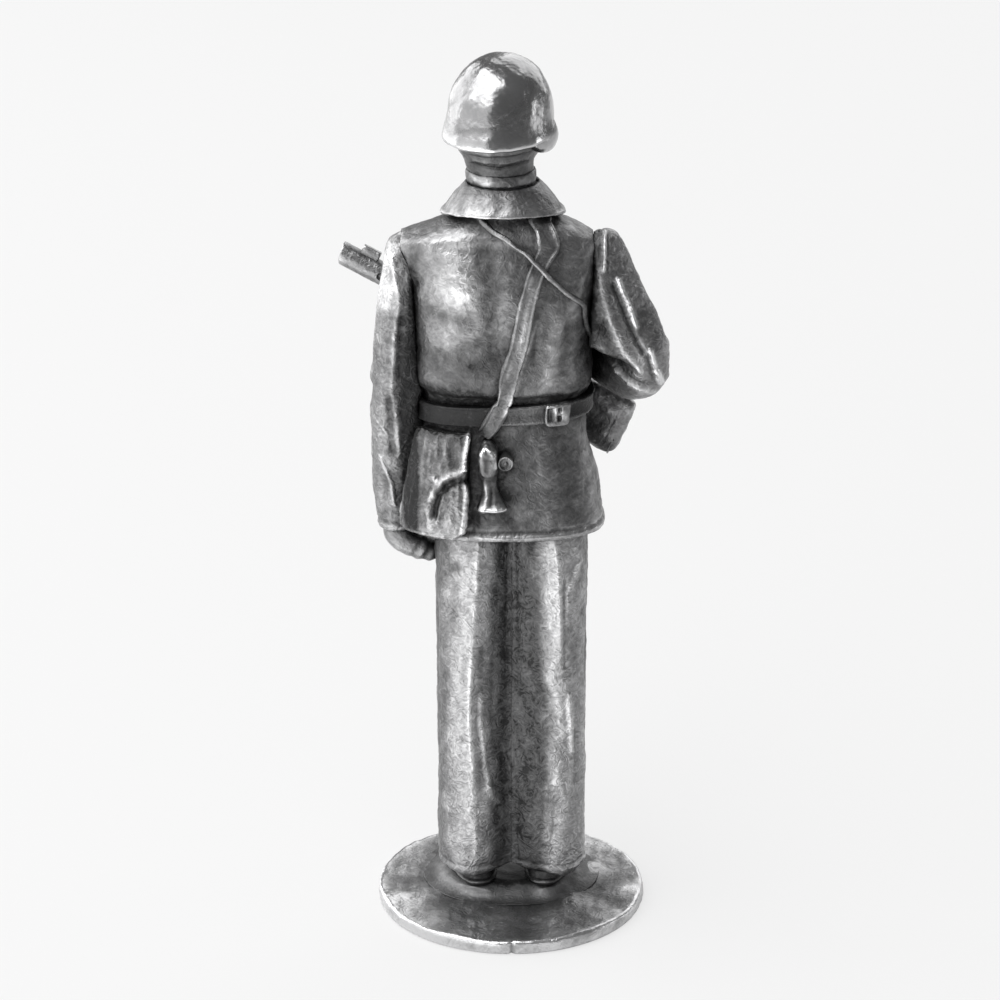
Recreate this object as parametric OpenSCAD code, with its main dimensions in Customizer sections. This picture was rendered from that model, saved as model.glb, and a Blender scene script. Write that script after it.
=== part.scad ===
// Toy soldier figure: white-metal castings pinned together on a round base.
// The figure faces -Y, its left hand is on the +X side, and +Z is up.
// The origin is the centre of the underside of the base plate.

/* [Base] */
// Diameter of the round base plate
base_diameter = 18.4; // [17:0.2:24]
// Thickness of the base plate
base_thickness = 1; // [0.8:0.1:1.6]
// Bevel round the upper edge of the base plate
base_bevel = 0.2; // [0.1:0.05:0.4]
// Width of the raised ground that the boots stand on
ground_width = 12; // [11.6:0.2:13]
// Front-to-back length of the raised ground
ground_length = 10.8; // [10.4:0.2:11.6]
// Height of the raised ground
ground_height = 0.8; // [0.5:0.1:1.2]

/* [Legs and boots] */
// Height from the raised ground to the hem of the jacket
leg_length = 26.2; // [24:0.2:30]
// Width of one trouser leg at the thigh
thigh_width = 5.2; // [5:0.1:5.6]
// Front-to-back depth of one trouser leg at the thigh
thigh_depth = 5.2; // [4.6:0.1:5.8]
// Width of one trouser leg at its hem
trouser_hem_width = 5.1; // [4.9:0.1:5.5]
// Front-to-back depth of one trouser leg at its hem
trouser_hem_depth = 5.2; // [4.8:0.1:5.6]
// Distance between the middles of the two legs
leg_spacing = 5; // [4.8:0.1:5.1]
// Height of the trouser hem above the boot sole, at the heel
hem_clearance = 1.2; // [1:0.1:1.5]
// How far the pressed crease stands out of the trouser leg
crease_height = 0.35; // [0.1:0.05:0.5]
// Length of a boot
boot_length = 8.2; // [7.6:0.1:8.6]
// Width of a boot
boot_width = 3; // [2.6:0.1:3.4]
// How much higher the trouser hem is over the instep than at the heel
hem_rise = 1.3; // [0.8:0.1:1.6]

/* [Jacket] */
// Height from the jacket hem to the belt line
skirt_length = 8.4; // [7.6:0.2:9.6]
// Height from the belt line to the shoulder line
back_length = 11.1; // [10.4:0.2:12.4]
// Height from the shoulder line to the top of the neck opening
shoulder_rise = 3; // [2.6:0.1:3.6]
// Width of the jacket at its hem
hem_width = 13.5; // [13:0.1:13.8]
// Front-to-back depth of the jacket at its hem
hem_depth = 8.9; // [8.4:0.1:9.6]
// Width of the jacket at the belt line
waist_width = 11; // [10.6:0.1:11.3]
// Front-to-back depth of the jacket at the belt line
waist_depth = 6.8; // [6.4:0.1:7.2]
// Width of the jacket across the chest
chest_width = 11.8; // [11.5:0.1:12]
// Front-to-back depth of the jacket at the chest
chest_depth = 7.5; // [7.2:0.1:8]
// Width of the jacket across the shoulders
shoulder_width = 12.5; // [12:0.1:13]
// Front-to-back depth of the jacket at the shoulders
shoulder_depth = 6.2; // [5.8:0.1:6.6]
// Diameter of the neck opening
neck_opening = 4.8; // [4.6:0.1:5]
// How far the shoulders stand to the figure's left of its feet
body_lean = 0.6; // [0.3:0.1:0.9]
// Thickness of the jacket skirt at its hem
skirt_wall = 0.5; // [0.4:0.05:0.7]
// Depth of the hollow under the skirt
skirt_hollow = 1.6; // [1:0.1:2.4]
// Size of a jacket button
button_diameter = 0.8; // [0.6:0.05:1]

/* [Collar] */
// Height of the turned-down collar
collar_height = 2; // [1.8:0.1:2.3]
// Width of the collar along its lower edge
collar_width = 8.1; // [7.9:0.1:8.5]
// Front-to-back depth of the collar along its lower edge
collar_depth = 7; // [6.9:0.1:7.3]
// Thickness of the collar
collar_wall = 0.35; // [0.25:0.05:0.4]

/* [Head and helmet] */
// Diameter of the neck
neck_diameter = 4.4; // [4.2:0.1:4.6]
// Height from the top of the neck opening to the helmet rim
neck_length = 3.6; // [3.3:0.1:4.2]
// Width of the head without the helmet
head_width = 5.7; // [5.4:0.1:5.8]
// Front-to-back depth of the head without the helmet
head_depth = 6.8; // [6.4:0.1:7]
// Height of the helmet from its rim to its top
helmet_height = 5.6; // [5.3:0.1:6.2]
// Width of the helmet above its rim
helmet_width = 6.8; // [6.6:0.1:7.2]
// Front-to-back depth of the helmet above its rim
helmet_depth = 8; // [7.8:0.1:8.4]
// How far the helmet rim flares out
rim_flare = 0.35; // [0.2:0.05:0.5]
// Thickness of the helmet at its rim
helmet_wall = 0.4; // [0.3:0.05:0.45]
// Turn of the head to the figure's right, in degrees
head_turn = 24; // [0:1:40]
// Height of the scarf round the neck
scarf_height = 0.8; // [0.5:0.1:1]
// Thickness of the scarf round the neck
scarf_thickness = 0.3; // [0.2:0.05:0.4]

/* [Arms and hands] */
// Width of the left sleeve where it is fullest
sleeve_width = 2.9; // [2.6:0.1:3.1]
// Front-to-back depth of the left sleeve where it is fullest
sleeve_depth = 3.6; // [3.2:0.1:3.8]
// Thickness of the bent right sleeve at its elbow
elbow_width = 3.7; // [3.4:0.1:3.9]
// Width of the sleeves at the cuff
cuff_width = 2.3; // [2.1:0.1:2.5]
// Length of the hanging left sleeve
left_sleeve_length = 20.5; // [20:0.1:21]
// Height from the right shoulder to the middle of the right elbow
right_upper_arm = 8.8; // [8.5:0.1:9]
// Distance from the right elbow to the right wrist
right_forearm = 7.6; // [7.2:0.1:7.8]
// Width of a hand across the knuckles
hand_width = 2.2; // [1.9:0.1:2.4]

/* [Belt and equipment] */
// Height of the waist belt
belt_height = 1.35; // [1.1:0.05:1.6]
// Thickness of the waist belt
belt_thickness = 0.35; // [0.25:0.05:0.45]
// Rise of the belt from the left hip to the right hip
belt_slope = 0.5; // [0:0.1:0.8]
// Width of the front buckle
buckle_width = 2.1; // [1.8:0.1:2.4]
// Height of the front buckle
buckle_height = 1.7; // [1.5:0.1:2]
// Thickness of the front buckle
buckle_thickness = 0.3; // [0.2:0.05:0.4]
// Width of the slider at the back of the belt
slider_width = 1.5; // [1.2:0.1:1.8]
// Height of the slider at the back of the belt
slider_height = 1.7; // [1.5:0.1:2]
// Width of the haversack
haversack_width = 4; // [3.6:0.1:4.2]
// Height of the haversack
haversack_height = 6.6; // [6:0.1:6.9]
// Thickness of the haversack
haversack_thickness = 1.3; // [1:0.1:1.6]
// Width of the haversack strap
haversack_strap_width = 1.1; // [0.9:0.05:1.3]
// Width of the gun sling
sling_width = 0.5; // [0.4:0.05:0.6]
// Thickness of the two straps
strap_thickness = 0.28; // [0.2:0.01:0.3]
// Height of the water flask
flask_height = 4.9; // [4.4:0.1:5.2]
// Width of the water flask at its foot
flask_width = 2.3; // [2:0.1:2.5]
// Thickness of the water flask
flask_thickness = 1.5; // [1.2:0.1:1.8]
// Diameter of the snap stud beside the flask
stud_diameter = 1; // [0.8:0.05:1.1]

/* [Gun] */
// Length of the gun from the butt plate to the muzzle
gun_length = 21.6; // [21:0.2:23]
// Rise of the muzzle above the butt, in degrees
gun_rise = 26; // [25:0.5:28]
// Swing of the muzzle to the front, in degrees
gun_swing = 10.5; // [9:0.5:14]
// Diameter of the barrel jacket
barrel_diameter = 1.55; // [1.4:0.05:1.7]
// Width of the stock and the receiver
stock_width = 1.3; // [1.1:0.05:1.5]
// Length of the butt plate
butt_length = 4.2; // [3.8:0.1:4.4]
// Length of the magazine
magazine_length = 4.6; // [4:0.1:5.4]
// Width of the magazine along the gun
magazine_width = 1.3; // [1.1:0.05:1.5]

/* [Pins] */
// Diameter of the wire pins through the feet, hips and shoulders
pin_diameter = 0.9; // [0.7:0.05:1]
// Diameter of the wire pin in the neck
neck_pin_diameter = 1.2; // [1:0.05:1.4]
// Diameter of the wire pins in the wrists
wrist_pin_diameter = 0.5; // [0.4:0.05:0.6]
// Depth that a pin goes into each casting
pin_depth = 2.6; // [2:0.1:3]
// Depth that a wrist pin goes into each casting
wrist_pin_depth = 0.9; // [0.7:0.05:1]

/* [Hidden] */

// Gap that is left where two castings meet
seat_gap = 0.05;
// Gap under a strap that lies on the jacket
strap_gap = 0.1;
// Gap round a pin in its bore
pin_gap = 0.02;
// Overrun of a cut past the surface that it opens
overrun = 0.5;
// Step over which the slope of a surface is taken
slope_step = 0.1;
// Sides of a lofted form, of a thin one, and of a true cylinder
loft_sides = 36;
thin_sides = 20;
round_fn = 48;
// Rows that are added between two rows of a table
loft_steps = 2;

// Levels of the figure, from the table up
sole_z = base_thickness + ground_height;
trouser_z = sole_z + hem_clearance;
hem_z = sole_z + leg_length;
waist_z = hem_z + skirt_length;
shoulder_z = waist_z + back_length;
neck_z = shoulder_z + shoulder_rise;
rim_z = neck_z + neck_length;
leg_top_z = hem_z + skirt_hollow;
top_z = rim_z + helmet_height;

// Part of a superellipse: c to the power that gives roundness p, with its sign
function bulge(c, p) = sign(c)*pow(abs(c), 2/p);
function unit(v) = v/norm(v);

// Level ring of n points for the row [x, y, z, width, depth, roundness]
function oval(row, n) = [for (i = [0:n - 1]) let(a = 360*i/n)
    [row[0] + row[3]/2*bulge(cos(a), row[5]), row[1] + row[4]/2*bulge(sin(a), row[5]), row[2]]];

// Row at share u of the way from row i of a table to the next, on a smooth curve through them all
function smooth_row(t, i, u) = let(b = t[i], c = t[i + 1], a = i > 0 ? t[i - 1] : 2*b - c,
    d = i + 2 < len(t) ? t[i + 2] : 2*c - b)
    b + 0.5*u*(c - a + u*(2*a - 5*b + 4*c - d + u*(3*(b - c) + d - a)));
function smooth_table(t, steps) = concat([for (i = [0:len(t) - 2]) for (k = [0:steps - 1])
    smooth_row(t, i, k/steps)], [t[len(t) - 1]]);

// Closed skin over a list of rings, with a fan over the first and the last ring
module loft(rings) {
    n = len(rings[0]);
    m = len(rings);
    all_points = [for (r = rings) for (p = r) p];
    first_middle = [for (k = [0:2]) [for (p = rings[0]) 1]*[for (p = rings[0]) p[k]]/n];
    last_middle = [for (k = [0:2]) [for (p = rings[m - 1]) 1]*[for (p = rings[m - 1]) p[k]]/n];
    sides = [for (i = [0:m - 2]) for (j = [0:n - 1]) let(a = i*n + j, b = i*n + (j + 1)%n)
        for (f = [[a, a + n, b + n], [a, b + n, b]]) f];
    first_fan = [for (j = [0:n - 1]) [m*n, j, (j + 1)%n]];
    last_fan = [for (j = [0:n - 1]) [m*n + 1, (m - 1)*n + (j + 1)%n, (m - 1)*n + j]];
    polyhedron(concat(all_points, [first_middle, last_middle]), concat(sides, first_fan, last_fan),
               convexity = 6);
}

// Closed skin over rings that come round to the first again, as on a collar or a belt
module ring_loft(rings) {
    n = len(rings[0]);
    m = len(rings);
    sides = [for (i = [0:m - 1]) for (j = [0:n - 1])
        let(a = i*n + j, b = i*n + (j + 1)%n, c = (i + 1)%m*n + j, d = (i + 1)%m*n + (j + 1)%n)
        for (f = [[a, c, d], [a, d, b]]) f];
    polyhedron([for (r = rings) for (p = r) p], sides, convexity = 6);
}

// Rings square to a path, one for each row [x, y, z, width, depth]: the width lies across v
function path_rings(rows, v, n, p) = [for (i = [0:len(rows) - 1])
    let(r = rows[i], before = rows[max(i - 1, 0)], after = rows[min(i + 1, len(rows) - 1)],
        t = unit([for (k = [0:2]) after[k] - before[k]]), s = unit(cross(v, t)), w = cross(t, s))
    [for (j = [0:n - 1]) let(a = 360*j/n) [for (k = [0:2])
        r[k] + r[3]/2*bulge(cos(a), p)*s[k] + r[4]/2*bulge(sin(a), p)*w[k]]]];

// Jacket: rows [x, y, z, width, depth, roundness] from the hem to the neck opening
blouse_share = 0.16;
chest_share = 0.62;
jacket_rows = [
    [body_lean*0.9, -hem_depth*0.02, hem_z, hem_width, hem_depth, 2.6],
    [body_lean*0.85, -hem_depth*0.03, hem_z + skirt_length*0.36, hem_width*0.93, hem_depth*0.93, 2.55],
    [body_lean*0.8, -hem_depth*0.035, hem_z + skirt_length*0.7, hem_width*0.865, hem_depth*0.84, 2.5],
    [body_lean*0.75, -hem_depth*0.03, waist_z - belt_height*0.6, waist_width, waist_depth, 2.5],
    [body_lean*0.75, -hem_depth*0.03, waist_z + belt_height*0.7, waist_width, waist_depth, 2.5],
    [body_lean*0.8, -hem_depth*0.02, waist_z + back_length*blouse_share, waist_width*1.05,
     waist_depth*1.1, 2.5],
    [body_lean*0.9, 0, waist_z + back_length*0.4, chest_width*0.985, chest_depth, 2.5],
    [body_lean, 0, waist_z + back_length*chest_share, chest_width, chest_depth*1.01, 2.5],
    [body_lean, 0, waist_z + back_length*0.85, shoulder_width*0.985, chest_depth*0.95, 2.5],
    [body_lean, 0, shoulder_z, shoulder_width, shoulder_depth, 2.4],
    [body_lean, 0, shoulder_z + shoulder_rise*0.25, shoulder_width*0.86, shoulder_depth*0.98, 2.3],
    [body_lean*0.95, 0, shoulder_z + shoulder_rise*0.5, shoulder_width*0.6, shoulder_depth*0.86, 2.2],
    [body_lean*0.95, 0, shoulder_z + shoulder_rise*0.7, shoulder_width*0.45, shoulder_depth*0.78, 2.1],
    [body_lean*0.95, 0, neck_z, neck_opening, neck_opening, 2]];
jacket_table = smooth_table(jacket_rows, loft_steps);
function jacket_column(k, z) = lookup(z, [for (r = jacket_table) [r[2], r[k]]]);
function jacket_row(z) = [jacket_column(0, z), jacket_column(1, z), z, jacket_column(3, z),
                          jacket_column(4, z), jacket_column(5, z)];

// Point of the jacket's skin at angle a and height z, the outward direction there, and a lifted point
function skin(a, z) = let(r = jacket_row(z))
    [r[0] + r[3]/2*bulge(cos(a), r[5]), r[1] + r[4]/2*bulge(sin(a), r[5]), z];
function skin_out(a, z) = unit(cross(skin(a + 1, z) - skin(a - 1, z),
    skin(a, z + slope_step) - skin(a, z - slope_step)));
function lifted(a, z, lift) = skin(a, z) + lift*skin_out(a, z);

// Turn and rise, per length, that lead in a direction along the skin from angle a and height z
function skin_way(a, z, way) = let(ea = skin(a + 1, z) - skin(a - 1, z),
    ez = skin(a, z + slope_step) - skin(a, z - slope_step))
    [2*(way*ea)/(ea*ea), 2*slope_step*(way*ez)/(ez*ez)];

// Strap of rectangular section that lies on the jacket along rows [angle, height, lift]
module strap(route, width, thickness) {
    steps = 3;
    rows = smooth_table(route, steps);
    middle = [for (r = rows) lifted(r[0], r[1], r[2])];
    loft([for (i = [0:len(rows) - 1])
        let(r = rows[i], t = middle[min(i + 1, len(rows) - 1)] - middle[max(i - 1, 0)],
            way = skin_way(r[0], r[1], unit(cross(skin_out(r[0], r[1]), t))))
        [for (c = [[-1, 0], [0, 0], [1, 0], [1, 1], [0, 1], [-1, 1]])
            lifted(r[0] + c[0]*width/2*way[0], r[1] + c[0]*width/2*way[1], r[2] + c[1]*thickness)]]);
}

// Rounded pad on the jacket: middle at angle a and height z, its back lying at a lift above the skin
module pad(a, z, width, height, lift, thickness, roundness, sides) {
    turn = 360/(PI*(jacket_row(z)[3] + jacket_row(z)[4])/2);
    // Rows of share of the outline and share of the thickness, from the back face round to the front
    pad_share = [[0.5, 0], [0.97, 0], [1, 0.12], [1, 0.6], [0.94, 0.85], [0.75, 0.97], [0.4, 1]];
    loft([for (r = [for (k = [len(pad_share) - 1:-1:0]) pad_share[k]]) [for (j = [0:sides - 1])
        let(c = 360*j/sides)
        lifted(a - turn*width/2*r[0]*bulge(cos(c), roundness), z - height/2*r[0]*bulge(sin(c), roundness),
               lift + thickness*r[1])]]);
}

// Arm seats: the left one is a plane that leans out from the shoulder to the hem
arm_inset = 0.35;
left_seat_top = [body_lean + shoulder_width/2 - arm_inset, shoulder_z];
left_seat_hem = [body_lean*0.9 + hem_width/2 - arm_inset, hem_z];
left_seat_lean = atan2(left_seat_hem[0] - left_seat_top[0], left_seat_top[1] - left_seat_hem[1]);
function left_seat_x(z) = left_seat_top[0]
    + (left_seat_hem[0] - left_seat_top[0])*(left_seat_top[1] - z)/(left_seat_top[1] - left_seat_hem[1]);
right_seat_x = body_lean - shoulder_width/2 + arm_inset;
armpit_z = waist_z + back_length*0.66;
pin_z = waist_z + back_length*0.88;

// Everything on the figure's left of the left arm seat, moved out by a gap
module left_of_seat(gap) {
    big = gun_length;
    translate([left_seat_top[0] + gap, -big, left_seat_top[1]]) rotate([0, -left_seat_lean, 0])
        translate([0, 0, -2*big]) cube([big, 2*big, 4*big]);
}

// Everything on the figure's right of the right arm seat, above the armpit
module right_of_seat(gap, bottom) {
    big = gun_length;
    translate([right_seat_x - gap - big, -big, bottom]) cube([big, 2*big, big]);
}

// Upright prism with the outline of the blouse above the belt, grown by a gap
module blouse_prism(gap) {
    r = jacket_row(waist_z + back_length*blouse_share);
    translate([0, 0, hem_z]) linear_extrude(armpit_z - hem_z)
        polygon([for (p = oval([r[0], r[1], 0, r[3] + 2*gap, r[4] + 2*gap, r[5]], loft_sides)) [p[0], p[1]]]);
}

// Wire pin, or its bore when it is given a gap
module wire_pin(place, turn, diameter, back, front, gap) {
    translate(place) rotate(turn) translate([0, 0, -back - gap])
        cylinder(h = back + front + 2*gap, d = diameter + 2*gap, $fn = round_fn);
}
module foot_pin_set(gap) {
    for (side = [-1, 1]) wire_pin([side*leg_spacing/2, 0, sole_z], [0, 0, 0], pin_diameter,
        ground_height + base_thickness*0.6, hem_clearance + pin_depth, gap);
}
module hip_pin_set(gap) {
    for (side = [-1, 1]) wire_pin([side*leg_spacing/2, 0, leg_top_z], [0, 0, 0], pin_diameter,
        pin_depth, pin_depth, gap);
}
module neck_pin_at(gap) {
    wire_pin([body_lean*0.95, 0, neck_z], [0, 0, 0], neck_pin_diameter, pin_depth, pin_depth, gap);
}
module shoulder_pin_set(gap) {
    into_sleeve = sleeve_width*0.45;
    wire_pin([left_seat_x(pin_z), 0, pin_z], [0, 90, 0], pin_diameter, pin_depth, into_sleeve, gap);
    wire_pin([right_seat_x, 0, pin_z], [0, -90, 0], pin_diameter, pin_depth, into_sleeve*0.8, gap);
}

// Base
module base_plate() {
    color([0.62, 0.62, 0.64]) difference() {
        union() {
            cylinder(h = base_thickness - base_bevel, d = base_diameter, $fn = 2*round_fn);
            translate([0, 0, base_thickness - base_bevel])
                cylinder(h = base_bevel, d1 = base_diameter, d2 = base_diameter - 2*base_bevel,
                    $fn = 2*round_fn);
        }
        foot_pin_set(pin_gap);
    }
}

ground_y = -ground_length*0.17;
module ground_plate() {
    color([0.58, 0.58, 0.6]) difference() {
        // Rows of share of the outline and share of the height
        loft([for (r = [[1, 0], [0.99, 0.25], [0.955, 0.6], [0.9, 0.9], [0.86, 1]])
            oval([0, ground_y, base_thickness + ground_height*r[1], ground_width*r[0],
                  ground_length*r[0], 2.2], loft_sides)]);
        foot_pin_set(pin_gap);
    }
}

// Legs: rows [x, y, z, width, depth, roundness] of the left trouser leg, hem first
trouser_length = hem_z - trouser_z;
leg_x = leg_spacing/2;
leg_rows = [
    [leg_x, -0.03*thigh_depth, trouser_z, trouser_hem_width, trouser_hem_depth, 2.6],
    [leg_x, 0, trouser_z + trouser_length*0.1, trouser_hem_width*0.98, trouser_hem_depth*0.97, 2.6],
    [leg_x, 0.01*thigh_depth, trouser_z + trouser_length*0.3, trouser_hem_width*0.97,
     trouser_hem_depth*0.94, 2.5],
    [leg_x, 0, trouser_z + trouser_length*0.55, thigh_width*0.97, thigh_depth*0.95, 2.5],
    [leg_x, 0, trouser_z + trouser_length*0.8, thigh_width*0.99, thigh_depth*0.98, 2.5],
    [leg_x, 0, leg_top_z - seat_gap, thigh_width, thigh_depth, 2.5]];

// Ring of a trouser leg, with the pressed crease drawn out at its back and front
crease_power = 24;
function creased(row) = [for (i = [0:loft_sides - 1]) let(a = 360*i/loft_sides, p = oval(row, loft_sides)[i],
    near = pow(abs(sin(a)), crease_power)) [p[0], p[1] + sign(sin(a))*crease_height*near, p[2]]];

// Ring lifted towards the front by a share of the rise of the trouser hem
function risen(ring, share) = [for (p = ring)
    [p[0], p[1], p[2] + share*hem_rise*(0.5 - p[1]/trouser_hem_depth)]];
// Ring turned outwards about the middle of the leg
function toed_out(ring) = [for (p = ring) let(x = p[0] - leg_x)
    [leg_x + x*cos(boot_angle) - p[1]*sin(boot_angle), x*sin(boot_angle) + p[1]*cos(boot_angle), p[2]]];

module leg_half(side) {
    mirror([side < 0 ? 1 : 0, 0, 0]) difference() {
        loft([for (r = smooth_table(leg_rows, loft_steps)) let(up = (r[2] - trouser_z)/(trouser_length*0.3))
            risen(creased(r), max(1 - up, 0))]);
        translate([seat_gap/2 - leg_length, -leg_length, 0]) cube([leg_length, 2*leg_length, 2*leg_length]);
        foot_pin_set(pin_gap);
        hip_pin_set(pin_gap);
    }
}
module left_leg() { color([0.5, 0.5, 0.52]) leg_half(1); }
module right_leg() { color([0.5, 0.5, 0.52]) leg_half(-1); }

// Boots: rows of share of the length behind the heel's front, height, width, length and hem rise
boot_angle = 9;
boot_heel = boot_length*0.3;
module boot(side) {
    boot_share = [[0, 0, 0.92, 0.98, 0], [0, 0.14, 1, 1, 0], [0.01, 0.45, 1, 0.97, 0.25],
                  [0.06, 0.7, 0.96, 0.86, 0.6], [0.14, 0.9, 0.9, 0.68, 0.9], [0.2, 1, 0.84, 0.54, 1]];
    height = trouser_z - seat_gap - sole_z;
    mirror([side < 0 ? 1 : 0, 0, 0]) difference() {
        loft([for (r = boot_share) risen(toed_out(oval([leg_x, boot_heel - boot_length/2 + boot_length*r[0],
            sole_z + height*r[1], boot_width*r[2], boot_length*r[3], 2.5], loft_sides)), r[4])]);
        foot_pin_set(pin_gap);
    }
}
module left_boot() { color([0.42, 0.42, 0.44]) boot(1); }
module right_boot() { color([0.42, 0.42, 0.44]) boot(-1); }

module jacket() {
    inner = [for (s = [0.5, 1]) oval([jacket_rows[0][0], jacket_rows[0][1], leg_top_z,
        (hem_width*0.96 - 2*skirt_wall)*s, (hem_depth*0.96 - 2*skirt_wall)*s, 2.6], loft_sides)];
    inner_hem = [oval([jacket_rows[0][0], jacket_rows[0][1], hem_z, hem_width - 2*skirt_wall,
        hem_depth - 2*skirt_wall, 2.6], loft_sides)];
    button_share = [0.2, 0.42, 0.86];
    color([0.6, 0.6, 0.62]) difference() {
        union() {
            loft(concat(inner, inner_hem, [for (r = jacket_table) oval(r, loft_sides)]));
            for (s = button_share) translate(skin(270, waist_z + back_length*s)) rotate([90, 0, 0])
                translate([0, 0, -button_diameter/2]) cylinder(h = button_diameter*0.75, d = button_diameter,
                    $fn = round_fn);
        }
        left_of_seat(-seat_gap/2);
        right_of_seat(-seat_gap/2, armpit_z);
        hip_pin_set(pin_gap);
        neck_pin_at(pin_gap);
        shoulder_pin_set(pin_gap);
    }
}

// Collar: rows of share of the height, width and depth, up the outside
collar_top_z = neck_z + collar_height*0.45;
collar_neck = neck_diameter + 2*seat_gap;
module collar() {
    bottom_z = collar_top_z - collar_height;
    outside = [for (s = [[0, 1], [0.45, 0.6], [0.85, 0.18], [1, 0]])
        [body_lean*0.95, 0, bottom_z + collar_height*s[0],
         (collar_neck + collar_wall)*(1 - s[1]) + collar_width*s[1],
         (collar_neck + collar_wall)*(1 - s[1]) + collar_depth*s[1], 2.1]];
    inside = [for (k = [len(outside) - 1:-1:0]) let(r = outside[k])
        [r[0], r[1], r[2], max(r[3] - 2*collar_wall, collar_neck), max(r[4] - 2*collar_wall, collar_neck),
         r[5]]];
    notch = collar_width*0.14;
    color([0.64, 0.64, 0.66]) difference() {
        ring_loft([for (r = concat(outside, inside)) oval(r, loft_sides)]);
        translate([body_lean*0.95, 0, bottom_z]) rotate([90, 0, 0]) linear_extrude(collar_depth)
            polygon([[-notch, -collar_height], [notch, -collar_height], [0, collar_height*0.8]]);
    }
}

module neck_scarf() {
    middle_z = collar_top_z + seat_gap + scarf_height/2;
    inner = neck_diameter + 2*seat_gap;
    color([0.66, 0.66, 0.68]) ring_loft([for (t = [0:45:315])
        let(d = inner + scarf_thickness*(1 + cos(t)))
        oval([body_lean*0.95, 0, middle_z + scarf_height/2*sin(t), d, d, 2], loft_sides)]);
}

// Helmet dome: width left at share s of the height, and the rim that rises to the front
dome_power = 2.35;
brim_rise = 0.9;
function dome(s) = pow(1 - pow(s, dome_power), 1/dome_power);
function flare(s) = s < 0.16 ? pow(1 - s/0.16, 2) : 0;
function dome_ring(s, width, depth, height, spread) = [for (p = oval([0, 0, height*s,
    width*dome(s) + 2*spread*flare(s), depth*dome(s) + 2*spread*flare(s), 2.1], loft_sides))
    [p[0], p[1], p[2] + brim_rise*(1 - s)*(0.5 - p[1]/depth)]];
dome_share = [0, 0.06, 0.15, 0.32, 0.5, 0.68, 0.82, 0.92, 0.98];

module on_neck() {
    translate([body_lean*1.2, 0, rim_z]) rotate([0, 0, -head_turn]) children();
}

module helmet() {
    inner = [for (k = [len(dome_share) - 1:-1:0]) dome_ring(dome_share[k], helmet_width - 2*helmet_wall,
        helmet_depth - 2*helmet_wall, helmet_height - helmet_wall, rim_flare)];
    outer = [for (s = dome_share) dome_ring(s, helmet_width, helmet_depth, helmet_height, rim_flare)];
    color([0.66, 0.66, 0.68]) on_neck() loft(concat(inner, outer));
}

// Head: rows of share of the width and depth, place and height under the helmet rim, chin first
module head() {
    jaw_share = [[0.36, 0.36, -0.23, -0.49], [0.56, 0.54, -0.19, -0.4], [0.76, 0.75, -0.12, -0.22],
                 [0.89, 0.89, -0.05, 0], [0.96, 0.97, -0.015, 0.22]];
    skull_height = helmet_height - helmet_wall - seat_gap;
    color([0.66, 0.64, 0.62]) difference() {
        union() {
            translate([body_lean*0.95, 0, neck_z])
                cylinder(h = neck_length, d = neck_diameter, $fn = round_fn);
            on_neck() loft(concat(
                [for (r = jaw_share) oval([0, head_depth*r[2], neck_length*r[3], head_width*r[0],
                    head_depth*r[1], 2.2], loft_sides)],
                [for (s = [0.3, 0.5, 0.68, 0.82, 0.92, 0.98])
                    oval([0, 0, skull_height*s, head_width*dome(s), head_depth*dome(s), 2.1], loft_sides)]));
            // Nose: rows of share of the head's width, depth, place and height, from its tip up
            on_neck() loft([for (r = [[0.1, 0.1, -0.45, -0.13], [0.17, 0.18, -0.465, -0.09],
                                      [0.11, 0.15, -0.455, 0.03], [0.09, 0.1, -0.45, 0.15]])
                oval([0, head_depth*r[2], neck_length*r[3], head_width*r[0], head_depth*r[1], 2],
                     thin_sides)]);
        }
        neck_pin_at(pin_gap);
    }
}

// Left sleeve: rows of share of its length from the top, of the width outside the seat, and of both sizes
module left_sleeve() {
    top_z = shoulder_z + sleeve_width*0.14;
    sleeve_share = [[0, 0.14, 0.4, 0.5], [0.025, 0.15, 0.66, 0.8], [0.09, 0.19, 0.84, 0.97],
                    [0.21, 0.28, 0.88, 0.98], [0.38, 0.34, 0.97, 0.97], [0.55, 0.36, 1, 0.97],
                    [0.72, 0.35, 0.95, 0.9], [0.89, 0.35, 0.88, 0.84]];
    rows = concat([for (r = sleeve_share) let(z = top_z - left_sleeve_length*r[0])
        [left_seat_x(z) + sleeve_width*r[1], -sleeve_depth*0.22*pow(r[0], 2), z, sleeve_width*r[2],
         sleeve_depth*r[3], 2.3]],
        [[left_cuff[0], left_cuff[1], left_cuff[2], cuff_width, cuff_width*1.24, 2.2]]);
    color([0.6, 0.6, 0.62]) difference() {
        loft([for (k = [2*len(rows) - 2:-1:0]) oval(smooth_table(rows, 2)[k], loft_sides)]);
        difference() {
            translate([-gun_length, -gun_length, 0]) cube([2*gun_length, 2*gun_length, top_z + overrun]);
            left_of_seat(seat_gap/2);
        }
        shoulder_pin_set(pin_gap);
        wrist_pin_set(pin_gap);
    }
}
left_cuff = [left_seat_x(hem_z) + cuff_width*0.36, -sleeve_depth*0.22,
             shoulder_z + sleeve_width*0.14 - left_sleeve_length];

// Right arm: shoulder, elbow and wrist of its middle line
right_shoulder = [right_seat_x - elbow_width*0.15, 0, shoulder_z - elbow_width*0.08];
right_elbow = right_shoulder + right_upper_arm*[-0.36, 0.05, -1];
forearm_way = unit([0.68, -0.72, 0.07]);
right_wrist = right_elbow + right_forearm*forearm_way;
bend_radius = elbow_width*0.56;

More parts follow.
